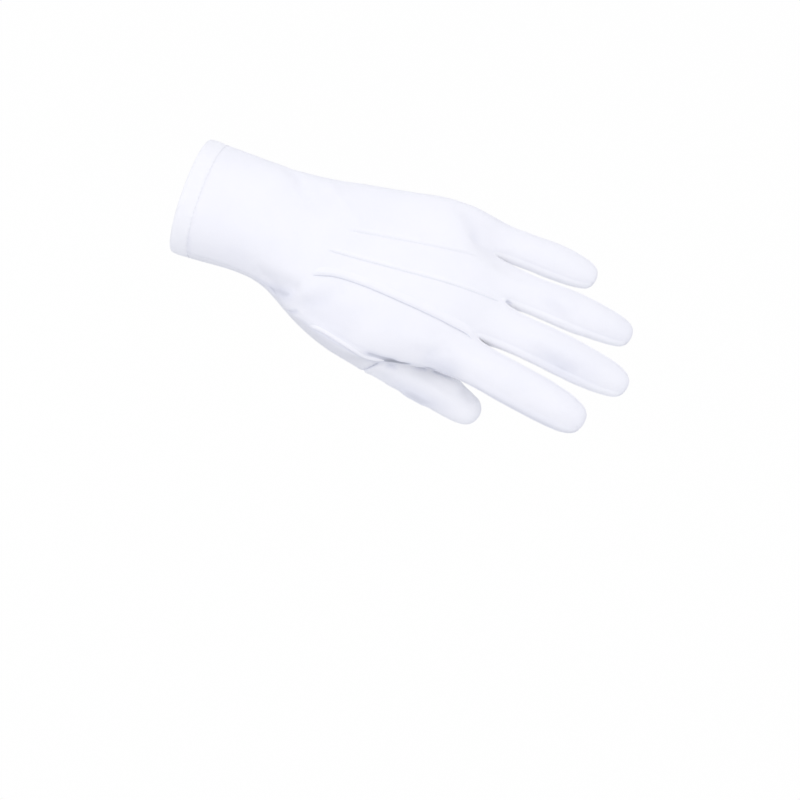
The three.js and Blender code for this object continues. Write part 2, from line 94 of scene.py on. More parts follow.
# From the index finger to the little finger
FINGERS = table(
    "x y z turn drop curl length wide thick",
    (154, -28.1, -5.5, -4.7, 6, 8, 60.5, 20.9, 17.6),
    (159, -6.1, -4, -1.6, 6, 8, 67.6, 20.2, 15.6),
    (157, 15.3, -5, 2.6, 6, 9, 62.2, 19.2, 14.8),
    (145, 37.4, -7, 3.5, 6, 9, 48, 17.8, 13.8),
)
SHOULDER = 0.36
CURL_STEPS = 40
FINGER_SECTIONS = table(
    "at wide thick side",
    (0.0, 1.0, 1.0, 45),
    (0.16, 0.97, 0.85, 30),
    (0.36, 0.98, 0.92, 27),
    (0.56, 1.0, 0.98, 26),
    (0.76, 0.93, 0.92, 26),
    (0.92, 0.82, 0.78, 28),
    (1.02, 0.56, 0.54, 36),
)
TIP_RISE = 0.03
STRIPS = table("cloth x", (STRIP_IM, 151), (STRIP_MR, 158), (STRIP_RL, 142.3))
THUMB = table(
    "x y z turn drop roll wide thick",
    (102.2, -40.4, -15.5, -78, 40, 5, 29.6, 23),
    (114.2, -36.8, -21, -28, 24, 30, 20, 19.4),
    (127.2, -37.3, -22.8, -4, 12, 35, 19.4, 18.6),
    (139.2, -39.2, -22.9, -5, 6, 35, 19.4, 18.4),
    (150.5, -41.3, -23.6, -7, 8, 35, 19.2, 17.4),
    (159.8, -42.8, -25.2, -8, 10, 35, 16.8, 14.6),
    (165.9, -43.9, -26.7, -8, 12, 35, 11.6, 9.8),
)
THUMB_TIP = (168.7, -44.3, -27.5)
THUMB_TIP_AHEAD = 3  # of the last ring
THUMB_SEAM = 1
THUMB_EDGE = 45
FOLDS = table(
    "side x1 y1 x2 y2 wide high",
    (1, 125, 39, 142, 24, 8, -0.9),
    (1, 42, 24, 55, 13, 5, -1.0),
    (1, 60, 25, 84, 7, 5, 0.8),
    (1, 49, -31, 68, -33, 4.5, -2.2),
    (1, 84, -26, 67, -37, 4.5, 0.6),
    (1, 73, -39, 89, -29, 4.5, -0.4),
    (1, 145, -33, 133, -39, 5, -0.8),
    (1, 186, -14, 204, -14, 5, -0.9),
    (1, 175, 12, 190, 9.5, 5, -0.9),
    (-1, 78, 4, 112, 8, 13, -3.0),
    (-1, 66, -8, 100, -17, 5, -1.2),
    (-1, 124, 30, 132, -20, 4.5, -1.0),
)
FACING = (-0.1, 0.35)


def mix(a, b, t):
    return a + (b - a) * t


def smoothstep(low, high, value):
    t = np.clip((value - low) / (high - low), 0, 1)
    return t * t * (3 - 2 * t)


def unit(v):
    v = np.asarray(v, float)
    return v / np.maximum(np.linalg.norm(v, axis=-1, keepdims=True), 1e-12)


def swell_for(before, after):
    """How much further out a corner of the cage has to be, so that it rounds to its own place."""
    return 6 / (4 + math.cos(math.radians(before)) + math.cos(math.radians(after)))


class Cage:
    """Quads in millimetres. Each point also has its place in the knit, along and across, on each chart."""

    def __init__(self):
        self.points, self.knit, self.faces, self.cloth, self.chart = [], [], [], [], []

    def point(self, place):
        self.points.append(np.array(place, float))
        self.knit.append(np.zeros((4, 2)))
        return len(self.points) - 1

    def face(self, cloth, chart, *corners):
        self.faces.append(corners)
        self.cloth.append(cloth)
        self.chart.append(chart)

    def gap(self, a, b):
        return float(np.linalg.norm(self.points[a] - self.points[b]))


cage = Cage()


def knuckle_shares():
    """Where the lines cross the knuckles, from -1 to 1: on each finger, between them and at the sides."""
    index, little = FINGERS[0], FINGERS[-1]
    low, high = index.y - index.wide / 2, little.y + little.wide / 2
    fingers = [finger.y for finger in FINGERS]
    between = [(a + b) / 2 for a, b in zip(fingers, fingers[1:])]
    shoulders = [index.y - index.wide * SHOULDER, little.y + little.wide * SHOULDER]
    return [2 * (y - low) / (high - low) - 1 for y in sorted([low, high] + fingers + between + shoulders)]


def hand_ring(row, shares):
    swell = swell_for(360 / LINES, 360 / LINES)
    ring = []
    for line in range(LINES):
        palm = line > HALF
        j = LINES - line if palm else line
        across = mix(-math.cos(math.pi * j / HALF), shares[j], row.knuckle)
        height = max(0.0, 1 - abs(across) ** row.square) ** (1 / row.square)
        thenar = row.thenar * THENAR_SHARES[j] if palm and j < len(THENAR_SHARES) else 0
        out, lift = (0, 0) if line else (row.out, row.lift)
        ring.append(cage.point((
            row.x - row.fall * max(0, across) ** 2 - row.slant * across,
            row.y + across * row.half * swell - thenar * THENAR_OUT - out,
            row.z + height * swell * (-row.down if palm else row.up) - thenar + lift,
        )))
    return ring


def lay_line(line, chart, sign=1, across=0.0, along=None):
    """Lays points in the knit, each further across by its distance. along is their own x if not given."""
    for k, point in enumerate(line):
        if k:
            across += sign * cage.gap(point, line[k - 1])
        cage.knit[point][chart] = (cage.points[point][0] if along is None else along, across)


def lay_hand_ring(ring):
    """The knit is measured across the back from its middle line, and across the palm from its own."""
    for chart, middle, sign in ((OVER, HALF // 2, 1), (UNDER, HALF + HALF // 2, -1)):
        for step in (1, -1):
            lay_line([ring[(middle + step * k) % LINES] for k in range(HALF // 2 + 1)], chart, sign * step)


def axes_of(turn, drop, roll=0):
    """A section's own axes: side across it and up through its back, and ahead along it."""
    t, d, r = math.radians(turn), math.radians(drop), math.radians(roll)
    ahead = np.array((math.cos(d) * math.cos(t), math.cos(d) * math.sin(t), -math.sin(d)))
    level = np.array((-math.sin(t), math.cos(t), 0))
    side = level * math.cos(r) + np.cross(ahead, level) * math.sin(r)
    return SimpleNamespace(ahead=ahead, side=side, up=np.cross(ahead, side))


def round_section(centre, axes, wide, thick, edge):
    """Eight points round a centre, from the side nearest the little finger over the back."""
    angles = [0, edge, 90, 180 - edge, 180, 180 + edge, 270, 360 - edge]
    ring = []
    for i, angle in enumerate(angles):
        before = (angle - angles[i - 1]) % 360
        after = (angles[(i + 1) % AROUND] - angle) % 360
        swell = swell_for(before, after) / 2
        c, s = math.cos(math.radians(angle)), math.sin(math.radians(angle))
        ring.append(np.array(centre) + axes.side * c * swell * wide + axes.up * s * swell * thick)
    return ring


def finger_place(finger, share):
    place = np.array((finger.x, finger.y, finger.z), float)
    for i in range(CURL_STEPS):
        along = share * (i + 0.5) / CURL_STEPS
        axes = axes_of(finger.turn, finger.drop + finger.curl * along)
        place += axes.ahead * finger.length * share / CURL_STEPS
    return place


def finger_tube(finger):
    return [
        round_section(
            finger_place(finger, s.at), axes_of(finger.turn, finger.drop + finger.curl * s.at),
            finger.wide * s.wide, finger.thick * s.thick, s.side,
        )
        for s in FINGER_SECTIONS
    ]


def join_rings(start, end, cloths, charts):
    for i in range(AROUND):
        j = (i + 1) % AROUND
        cage.face(cloths[i], charts[i], start[i], start[j], end[j], end[i])


def close_tip(ring, tip, cloths, charts):
    corners = (
        (ring[1], ring[2], tip, ring[0]), (ring[2], ring[3], ring[4], tip),
        (tip, ring[4], ring[5], ring[6]), (ring[0], tip, ring[6], ring[7]),
    )
    for cloth, chart, quad in zip(cloths, charts, corners):
        cage.face(cloth, chart, *quad)


def join_hand_rings(start, end, lines, hem=False):
    for i in range(lines):
        j = (i + 1) % LINES
        cloth, chart = (BACK, OVER) if i < HALF else (PALM, UNDER)
        cage.face(HEM if hem else cloth, chart, start[i], end[i], end[j], start[j])


def build_hand():
    shares = knuckle_shares()
    rings = [hand_ring(row, shares) for row in HAND]
    for ring in rings:
        lay_hand_ring(ring)
    for r, (start, end) in enumerate(zip(rings, rings[1:])):
        at_thumb = THUMB_ROWS[0] <= r < THUMB_ROWS[1]
        join_hand_rings(start, end, LINES - 2 if at_thumb else LINES, hem=r == 0)
    return rings


def build_knuckles(knuckles, tubes):
    """The ring of finger bases, and each finger's own ring within it."""
    last = [None] * LINES
    middles = []

    def put(line, place):
        last[line % LINES] = cage.point(place)

    for f, tube in enumerate(tubes):
        put(2 * f + 2, tube[0][TOP])
        put(-(2 * f + 2), tube[0][BOTTOM])
    thumb_side, little_side = tubes[0][0], tubes[3][0]
    for line, place in ((0, thumb_side[4]), (1, thumb_side[3]), (-1, thumb_side[5]),
                        (HALF, little_side[0]), (HALF - 1, little_side[1]), (HALF + 1, little_side[7])):
        put(line, place)
    for s, strip in enumerate(STRIPS):
        near, far = tubes[s][0], tubes[s + 1][0]
        between = [(near[a] + far[b]) / 2 for a, b in ((1, 3), (7, 5), (0, 4))]
        for place in between:
            place[0] = strip.x
        put(2 * s + 3, between[0])
        put(-(2 * s + 3), between[1])
        middles.append(cage.point(between[2]))
    lay_hand_ring(last)
    for s, middle in enumerate(middles):
        for sign in (1, -1):
            lay_line((middle, last[sign * (2 * s + 3)]), SIDE, sign, along=STRIPS[s].x)
    join_hand_rings(knuckles, last, LINES)
    bases = []
    for f in range(4):
        line = 2 * f + 2
        inner = middles[f] if f < 3 else last[HALF]
        outer = middles[f - 1] if f else last[0]
        bases.append([
            inner, last[line + 1], last[line], last[line - 1],
            outer, last[-line + 1], last[-line], last[-line - 1],
        ])
    return bases


def lay_finger_ring(ring, along, top, bottom):
    for step in (1, -1):
        for chart, middle, across, sign in ((OVER, TOP, top, -step), (UNDER, BOTTOM, bottom, step)):
            lay_line([ring[(middle + step * k) % AROUND] for k in range(3)], chart, sign, across, along)
        lay_line((ring[0], ring[step % AROUND]), SIDE, step, along=along)
        lay_line((ring[4], ring[4 - step]), SIDE, step, along=along)


def build_fingers(knuckles):
    tubes = [finger_tube(finger) for finger in FINGERS]
    for f, start in enumerate(build_knuckles(knuckles, tubes)):
        finger = FINGERS[f]
        top, bottom = cage.knit[start[TOP]][OVER][1], cage.knit[start[BOTTOM]][UNDER][1]
        before = STRIPS[f - 1].cloth if f else None
        after = STRIPS[f].cloth if f < 3 else None
        cloths = [after or BACK, BACK, BACK, before or BACK, before or PALM, PALM, PALM, after or PALM]
        charts = [SIDE if cloth >= STRIP_IM else OVER if cloth == BACK else UNDER for cloth in cloths]
        for s, section in list(zip(FINGER_SECTIONS, tubes[f]))[1:]:
            end = [cage.point(place) for place in section]
            lay_finger_ring(end, finger.x + finger.length * s.at, top, bottom)
            join_rings(start, end, cloths, charts)
            start = end
        share = FINGER_SECTIONS[-1].at + TIP_RISE
        tip = cage.point(finger_place(finger, share))
        for chart, across in ((OVER, top), (UNDER, bottom)):
            lay_line([tip], chart, 1, across, finger.x + finger.length * share)
        close_tip(start, tip, (BACK, BACK, PALM, PALM), (OVER, OVER, UNDER, UNDER))


def lay_thumb_ring(ring, along):
    lay_line([ring[k] for k in (2, 1, 0, 7)], SIDE, along=along)
    lay_line(ring[2:7], SIDE, -1, along=along)
    lay_line([ring[k] for k in (2, 1, 0, 7, 6)], WRAP, along=along)


def build_thumb(rings):
    a, b, c = rings[THUMB_ROWS[0]], rings[THUMB_ROWS[0] + 1], rings[THUMB_ROWS[1]]
    start = [c[-1], c[0], b[0], a[0], a[-1], a[-2], b[-2], c[-2]]
    along = 0.0
    lay_thumb_ring(start, along)
    charts = [SIDE] * 6 + [WRAP, SIDE]
    for k, s in enumerate(THUMB):
        axes = axes_of(s.turn, s.drop, s.roll)
        end = [cage.point(p) for p in round_section((s.x, s.y, s.z), axes, s.wide, s.thick, THUMB_EDGE)]
        centres = [np.mean([cage.points[p] for p in ring], axis=0) for ring in (start, end)]
        along += float(np.linalg.norm(centres[1] - centres[0]))
        lay_thumb_ring(end, along)
        join_rings(start, end, [PALM if k <= THUMB_SEAM else THUMB_CLOTH] * AROUND, charts)
        start = end
    tip = cage.point(THUMB_TIP)
    lay_line([tip], SIDE, along=along + THUMB_TIP_AHEAD)
    lay_line([tip], WRAP, 1, cage.knit[start[7]][SIDE][1], along + THUMB_TIP_AHEAD)
    close_tip(start, tip, [THUMB_CLOTH] * 4, (SIDE, SIDE, SIDE, WRAP))


# The smooth surface


def gather(count, index, values):
    """The sums of the values that share an index."""
    flat = values.reshape(len(values), -1)
    sums = [np.bincount(index, weights=column, minlength=count) for column in flat.T]
    return np.stack(sums, axis=1).reshape((count,) + values.shape[1:])


def gather_faces(count, index, values):
    """The sums of the faces' values at their corners or edges."""
    return gather(count, index.ravel(), np.repeat(values, 4, axis=0))


def edges_of(faces):
    """The mesh's edges as pairs of points, each quad's four edges, and how many quads use each edge."""
    sides = np.stack([faces, np.roll(faces, -1, axis=1)], axis=2).reshape(-1, 2)
    sides = np.sort(sides, axis=1)
    key = sides[:, 0] * (int(faces.max()) + 1) + sides[:, 1]
    _, first, which = np.unique(key, return_index=True, return_inverse=True)
    return sides[first], which.reshape(-1, 4), np.bincount(which.ravel())


def meetings(points, faces):
    """For each point: its number of neighbours, their sum, and the sum and number of its open neighbours."""
    edges, sides, used = edges_of(faces)
    n = len(points)

    def both(some):
        out = gather(n, some[:, 0], points[some[:, 1]]) + gather(n, some[:, 1], points[some[:, 0]])
        return out, np.bincount(some.ravel(), minlength=n)[:, None]

    near, valence = both(edges)
    return edges, sides, used, near, valence, *both(edges[used == 1])


def subdivide(mesh):
    """One step of Catmull and Clark's subdivision. The old points keep their numbers."""
    points, faces = mesh.points, mesh.faces
    edges, sides, used, near, valence, open_near, open_count = meetings(points, faces)
    valence = np.maximum(valence, 1)
    n, m = len(points), len(faces)
    middles = points[faces].mean(axis=1)
    ends = points[edges]
    beside = gather_faces(len(edges), sides, middles)
    edge_points = np.where((used == 2)[:, None], (ends.sum(axis=1) + beside) / 4, ends.mean(axis=1))
    round_face = gather_faces(n, faces, middles)
    face_count = np.bincount(faces.ravel(), minlength=n)[:, None]
    round_face /= np.maximum(face_count, 1)
    inner = points * (valence - 2) / valence + near / valence**2 + round_face / valence
    rim = points * 0.75 + open_near / np.maximum(open_count, 1) * 0.25
    moved = np.where(open_count > 0, rim, inner)
    edge_number = n + m + sides
    quads = [
        np.stack([faces[:, i], edge_number[:, i], n + np.arange(m), edge_number[:, i - 1]], axis=1)
        for i in range(4)
    ]
    return SimpleNamespace(
        points=np.concatenate([moved, middles, edge_points]),
        knit=np.concatenate([mesh.knit, mesh.knit[faces].mean(axis=1), mesh.knit[edges].mean(axis=1)]),
        faces=np.stack(quads, axis=1).reshape(-1, 4),
        cloth=np.repeat(mesh.cloth, 4),
        chart=np.repeat(mesh.chart, 4),
        half_way=edge_number,
    )


def settled(mesh):
    """Where endless subdivision would bring each point."""
    points, faces = mesh.points, mesh.faces
    _, _, _, near, n, open_near, open_count = meetings(points, faces)
    across = gather(len(points), faces.ravel(), points[np.roll(faces, 2, axis=1)].reshape(-1, 3))
    inner = (points * n * n + near * 4 + across) / np.maximum(n * (n + 5), 1)
    rim = points * 2 / 3 + open_near / np.maximum(open_count, 1) / 3
    return np.where(open_count > 0, rim, inner)


def normals_of(points, faces):
    a, b, c, d = (points[faces[:, i]] for i in range(4))
    return unit(gather_faces(len(points), faces, np.cross(c - a, d - b)))


def main_folds(points, normals):
    """The folds that the solids have too."""
    total = np.zeros(len(points))
    for f in FOLDS:
        start, run = np.array((f.x1, f.y1)), np.array((f.x2 - f.x1, f.y2 - f.y1))
        t = np.clip((points[:, :2] - start) @ run / (run @ run), 0, 1)
        off = np.linalg.norm(points[:, :2] - start - t[:, None] * run, axis=1) / f.wide
        total += f.high * smoothstep(*FACING, normals[:, 2] * f.side) * np.exp(-2 * off * off)
    return total


def smooth_glove():
    """The glove's outside at both finenesses. The coarse mesh's points are the first of the fine one's."""
    rings = build_hand()
    build_fingers(rings[-1])
    build_thumb(rings)
    mesh = SimpleNamespace(**{name: np.array(rows) for name, rows in vars(cage).items()})
    for level in range(FINE):
        if level == COARSE:
            coarse = mesh
        mesh = subdivide(mesh)
    _, sides, used = edges_of(coarse.faces)
    coarse.open_side = used[sides] == 1
    mesh.points = settled(mesh)
    normals = normals_of(mesh.points, mesh.faces)
    mesh.points = mesh.points + normals * main_folds(mesh.points, normals)[:, None]
    mesh.normals = normals_of(mesh.points, mesh.faces)
    return mesh, coarse


fine, coarse = smooth_glove()


# The camera stands where the photograph's did, turned from the wrist's side and looking steeply down.
CAMERA_TURN = math.radians(22.6)
CAMERA_RISE = math.radians(65)
CAMERA_FAR = 1.3
FRAME_SIZE = 800
FOCUS = 2704  # the lens in pixels of that frame
WRIST_SEEN = (191.6, 195.2)  # where the frame's origin falls in it
SENSOR = 36  # in millimetres, as a lens is
CLIP_END = 500  # in metres


def camera_axes():
    turn, rise = CAMERA_TURN, CAMERA_RISE
    back = Vector((math.sin(turn) * math.cos(rise), -math.cos(turn) * math.cos(rise), math.sin(rise)))
    right = Vector((math.cos(turn), math.sin(turn), 0))
    up = back.cross(right)
    across, down = ((w - FRAME_SIZE / 2) / FOCUS * CAMERA_FAR for w in WRIST_SEEN)
    place = back * CAMERA_FAR - right * across + up * down
    return SimpleNamespace(right=right, up=up, back=back, place=place)


CAMERA = camera_axes()


# The folds and dents that show in the photograph, with painted shade in them. Each path is in pixels of it,
# or (x, z) as seen from the thumb's side. deep and wide are the valley's, and a negative deep is a rise.
# shade is how much painted shade darkens it, standing in for the shade that falls in the fold; a row without
# deep is painted shade alone. ends is the share of the path over which each end fades. ridge is the height
# of a rise beside it, off how far up that lies in the view, and spread its width.
def creases(*rows):
    columns = "path deep wide shade ends ridge off spread seen"
    return table(columns, *rows, shade=0, ends=0.4, ridge=0, off=0, spread=1, seen="photo")


CREASES = creases(
    # the wrist, on the thumb's side
    (((260, 282), (269, 288), (278, 292), (288, 294.4), (300, 294)), 0.8, 3.6, 0.72, 0.35),
    (((252, 277.5), (260, 282.5), (268, 289)), 0.1, 3.0, 0.4),
    (((292, 308), (322, 320), (362, 336)), 0, 12, 0.2, 0.3),
    (((282, 309.5), (290, 312), (300, 311.5)), 0.5, 1.1, 0.7, 0.35, 0.2, -2.2, 1.2),
    (((290, 304), (308, 304), (326, 300), (340, 291)), 0.3, 3.0, 0.2, 0.4, 0.15, 4.5, 2.5),
    (((300, 297), (309, 293), (318, 286)), -0.3, 2.2),
    (((218, 248), (236, 256), (252, 268)), 0.2, 4.0, 0.05),
    (((189.5, 234), (188.5, 245), (189.8, 257)), 0, 0.9, 0.3, 0.25),
    # the wrist's back
    (((288, 167), (294, 174), (303, 185)), 0.4, 2.2, 0.16, 0.35, 0.2, 3.5, 2.5),
    (((327, 182), (335, 201), (349, 220), (362, 226)), -0.35, 2.8),
    (((232, 150), (250, 168), (262, 190)), 0.15, 4.0, 0.06, 0.4, 0.15, 6, 3.5),
    # above and below the welt
    (((322, 327), (338, 335.5), (355, 345.5), (372, 352.5)), 0.2, 0.9, 0.12, 0.3),
    (((308, 328), (320, 332.6), (330, 338.6), (340, 344.8),
      (350, 351.2), (360, 357), (370, 361), (380, 362)), 0.35, 0.8, 0.45, 0.12),
    # the knuckles
    (((463, 206), (468, 216), (473, 228), (479, 243)), 0.3, 4.6, 0.16),
    (((470, 230), (475, 238), (480, 246)), 0.35, 3.0, 0.24, 0.45),
    (((498, 249), (506, 249), (515, 250)), -0.3, 1.0),
    (((507.4, 302), (509.4, 303.6)), 0.8, 1.0, 0.8, 0),
    (((443, 349), (432, 353), (420, 357)), 0.35, 2.4, 0.14),
    # the fingers
    (((534, 352), (552, 362), (578, 378)), 0.4, 3.2, 0.2, 0.4, 0.2, 6, 3),
    (((531, 333), (537, 339), (541, 347)), -0.35, 1.6),
    (((575, 350), (572, 360), (577, 372)), -0.35, 2.4),
    (((538, 297), (554, 306), (570, 322)), 0.35, 3.0, 0.16, 0.4, 0.2, 5, 3),
    (((566, 293), (572, 302), (580, 312)), -0.3, 2.2),
    (((448, 318), (458, 326), (478, 329)), 0.2, 3.0, 0.1),
    (((500, 372), (520, 384), (548, 392)), 0.2, 4.0, 0.08),
    # the thumb
    (((408, 373), (428, 385), (448, 398), (464, 409)), -0.7, 2.0, 0, 0.35),
    (((368, 371), (384, 379), (404, 390), (426, 402), (454, 413), (468, 418)), 0.6, 5.4, 0.75, 0.5),
    # painted shade along the lower side of the index finger
    (((466, 383), (490, 396.5), (520, 412), (560, 431), (596, 448)), 0, 4.0, 0.3, 0.15),
    # the thumb's outline
    (((366, 370), (374, 374), (383, 379), (391, 384)), 1.3, 5, 0.1, 0.3),
    (((398, 388), (408, 394.5), (420, 401), (430, 407)), -1.3, 5, 0, 0.35),
    (((458, 383), (465, 388), (472, 396), (479, 404)), 1.5, 5, 0, 0.35),
    # painted shade on the middle finger's cooler lower side
    (((516, 344), (546, 359), (580, 375), (616, 391)), 0, 7.5, 0.42, 0.5),
    # where the thumb's root goes under the hand: dents, and painted shadow in the crevice
    (((360, 351.5), (370, 355), (380, 358), (390, 360), (402, 361.6)), 0.7, 2.0, 0.9, 0.25),
    (((114, -1.5), (120, -2.6), (127, -2.2), (135, -1.4)), 0.3, 2.1, 1.2, 0.35, 0, 0, 1, "thumb_side"),
    (((382, 363.8), (391, 365), (400, 367)), 0.4, 2.0, 0.65),
    (((408, 364.8), (418, 366.8), (430, 369.6), (442, 374), (456, 380.2)), 0.6, 1.6, 0.75, 0.25),
    (((412, 358), (428, 363), (446, 370), (466, 379)), 0, 6.0, 0.5, 0.35),
    (((380, 361.5), (371, 367.5), (362, 370.5)), 0.3, 0.8, 0.7, 0.2),
)


RAISED_END = 7.0  # the length over which the end of a raised line sinks away
RAISED_NARROW = 0.45  # the share of its width that is left there
RAISED_SINK = 0.35
RAISED_CREST = 1.3  # the knit is laid up one side of a raised line and down the other
RAISED_KNIT = 0.4
RAISED_STEP = 1.1  # in pixels of the photograph
# Sections across a raised line, off to the side and height. A tuck rises from its steep foot, where it is
# stitched, over the crest. The welt is a round cord of cloth.
TUCK_SECTION = (
    (0.3, -0.5), (0.06, -0.1), (-0.04, 0.3), (0.12, 0.72), (0.6, 1.0), (1.35, 1.1), (2.15, 0.93),
    (2.95, 0.6), (3.75, 0.24), (4.35, 0.0), (4.85, -0.3),
)
WELT_SECTION = (
    (-0.8, -0.5), (-0.86, -0.05), (-0.76, 0.45), (-0.42, 0.85), (0.02, 1.0), (0.45, 0.88), (0.85, 0.55),
    (1.2, 0.15), (1.5, -0.4),
)
# Each path is a line in pixels of the photograph: a tuck's stitches, or the welt's middle.
RAISED = table(
    "name high wide section path",
    ("tuck_ring_side", 0.16, 0.62, TUCK_SECTION,
     ((343, 229.5), (362, 232.6), (410, 241.6), (458, 251.2), (482, 257.5))),
    ("tuck_middle", 0.34, 0.55, TUCK_SECTION,
     ((322, 248.6), (349, 256.6), (397, 269.4), (445, 282.4), (477, 293.2), (494, 300), (504, 302.4))),
    ("tuck_index_side", 0.7, 1.0, TUCK_SECTION,
     ((307, 275.6), (321, 275.8), (337, 277.6), (361, 285.2), (393, 298.6), (425, 313), (449, 324.9),
      (465, 333.6), (471, 338.6), (475, 344))),
    ("thumb_side_welt", 0.75, 0.95, WELT_SECTION,
     ((306, 325), (320, 330), (340, 342), (360, 354.4), (370, 358.4), (390, 361.6))),
)
TUCKS = [line for line in RAISED if line.section is TUCK_SECTION]
# The valley along each tuck's stitches: its depth and painted shade to the tuck's height, its width and its
# ends
FOOT = SimpleNamespace(deep=0.35, shade=0.1, wide=0.75, ends=0.1)
FEET = creases(*((t.path, FOOT.deep * t.high, FOOT.wide, FOOT.shade * t.high, FOOT.ends) for t in TUCKS))


def bell(off, wide):
    return np.exp(-((off / wide) ** 2))


def fade_at_ends(at, length, reach):
    return smoothstep(0, reach, at) * smoothstep(0, reach, length - at)


def lengths_along(line):
    return np.concatenate([[0], np.cumsum(np.linalg.norm(np.diff(line, axis=0), axis=1))])


SPLINE_STEPS = 24
FEWEST_POINTS = 3


def spline_through(path, step):
    """A smooth line through a few points, sampled evenly."""
    p = np.array(path, float)
    p = np.concatenate([[2 * p[0] - p[1]], p, [2 * p[-1] - p[-2]]])
    t = np.linspace(0, 1, SPLINE_STEPS, endpoint=False)[:, None]
    runs = []
    for a, b, c, d in zip(p, p[1:], p[2:], p[3:]):
        square, cube = 2 * a - 5 * b + 4 * c - d, 3 * b - a - 3 * c + d
        runs.append(0.5 * (2 * b + (c - a) * t + square * t**2 + cube * t**3))
    line = np.concatenate(runs + [p[-2:-1]])
    length = lengths_along(line)
    at = np.linspace(0, length[-1], max(FEWEST_POINTS, int(length[-1] / step) + 1))
    return np.stack([np.interp(at, length, line[:, k]) for k in range(line.shape[1])], axis=1)


def tree_of(points, faces):
    return BVHTree.FromPolygons([Vector(p) for p in points], faces.tolist())


FAR = 90  # outside the glove on every side


def sight(seen, a, b):
    """The line of sight through a place in a view: its start, its direction, and the view's upward one."""
    if seen == "thumb_side":
        return Vector((a, -FAR, b)), Vector((0, 1, 0)), Vector((0, 0, 1))
    right, up = (a - FRAME_SIZE / 2) / FOCUS, (b - FRAME_SIZE / 2) / FOCUS
    ahead = CAMERA.right * right - CAMERA.up * up - CAMERA.back
    return CAMERA.place / MM, ahead.normalized(), CAMERA.up


def eased(rows, reach=3):
    """The running mean of the rows over their neighbours."""
    padded = np.pad(rows, ((reach, reach), (0, 0)), mode="edge")
    return np.mean([padded[k:k + len(rows)] for k in range(2 * reach + 1)], axis=0)


def drop(tree, seen, path, step):
    """A path drawn in one view, dropped onto the cloth: its points, normals, directions and upper sides."""
    ends = [sight(seen, *place) for place in spline_through(path, step)]
    hits = [(tree.ray_cast(start, ahead), ahead) for start, ahead, _ in ends]
    hits = [(hit, ahead) for hit, ahead in hits if hit[0] is not None]
    points = np.array([hit[0] for hit, _ in hits])
    normals = unit(eased(np.array([hit[1] if hit[1].dot(ahead) < 0 else -hit[1] for hit, ahead in hits])))
    run = unit(np.gradient(points, axis=0))
    across = unit(np.cross(normals, run))
    if (across @ np.array(ends[0][2])).mean() < 0:
        across = -across
    return points, normals, run, across


PIXEL_STEP = 1.2
SIDE_STEP = 0.6
REACH = 3  # a crease is worked out as far off as this many of its widths
SHORT = 4  # a line of this many points or fewer doesn't fade at its ends


def crease_heights(tree, points):
    """How far all creases together move each point, and how much painted shade they lay on it."""
    height, depth = np.zeros(len(points)), np.zeros(len(points))
    for c in CREASES + FEET:
        line, _, _, across = drop(tree, c.seen, c.path, PIXEL_STEP if c.seen == "photo" else SIDE_STEP)
        reach = REACH * max(c.wide, abs(c.off) + c.spread if c.ridge else 0)
        inside = (points > line.min(0) - reach) & (points < line.max(0) + reach)
        near = np.flatnonzero(inside.all(axis=1))
        if not len(near):
            continue
        gaps = points[near][:, None, :] - line[None]
        length = np.linalg.norm(gaps, axis=2)
        k = length.argmin(axis=1)
        rows = np.arange(len(near))
        off = length[rows, k] * np.sign((gaps[rows, k] * across[k]).sum(axis=1))
        fade = fade_at_ends(k / (len(line) - 1), 1, c.ends) if len(line) > SHORT else 1.0
        valley = bell(off, c.wide) * fade
        height[near] += c.ridge * (bell(off - c.off, c.spread) * fade) - c.deep * valley
        depth[near] += c.shade * valley
    return height, depth


def seam_lines(mesh):
    """The edges on the seams between two cloths, and on the line of the hem's stitches."""
    edges, sides, _ = edges_of(mesh.faces)
    low, high = np.full(len(edges), STRIP_RL), np.full(len(edges), BACK)
    np.minimum.at(low, sides.ravel(), np.repeat(mesh.cloth, 4))
    np.maximum.at(high, sides.ravel(), np.repeat(mesh.cloth, 4))
    hem = (low != high) & ((low == HEM) | (high == HEM))
    seam = (low != high) & ~hem
    strip, thumb = seam & (high >= STRIP_IM), seam & (high == THUMB_CLOTH)
    return edges[strip], edges[thumb], edges[seam & ~strip & ~thumb], edges[hem]


def distance_to(mesh, edges):
    ends = mesh.points[edges]
    places = np.concatenate([ends[:, 0], ends[:, 1], ends.mean(axis=1)])
    tree = KDTree(len(places))
    for i, place in enumerate(places):
        tree.insert(Vector(place), i)
    tree.balance()
    return np.array([tree.find(Vector(p))[2] for p in mesh.points])


SEED_SHIFT = (7.1, 3.7, 5.3)


def ripple(points, size, seed):
    """Smooth noise from -1 to 1 with waves of about one size."""
    shift = Vector([seed * s for s in SEED_SHIFT])
    return np.array([noise.noise(Vector(p) / size + shift) for p in points])


SEAM_SHARES = (0.15, 1.0, 0.4)  # of the grooves at the strips, round the thumb, and along the hand's sides
# painted shade in a seam's groove
SEAM_SHADE = 0.45
SWELL = SimpleNamespace(high=0.35, off=2.2, wide=1.2)  # of the cloth beside a seam, to the groove's depth
# painted shade along the hem's stitching line
HEM_SHADE = 0.03
HEM_REACH = 4.0
HEM_SPAN = 9.0  # a little more than from its stitches to its edge
RIM_REACH = 5
PUCKER = 0.2
PUCKER_REACH = 3.0
SOFT_WAVES = ((18, 0.35), (7, 0.12))  # size and height of the cloth's own unevenness
PUCKER_WAVE, HEM_WAVE = 2.6, 3.4
PUCKER_SEED, HEM_SEED = 9, 10
# the most painted shade a point takes
DARKEST = 1.6


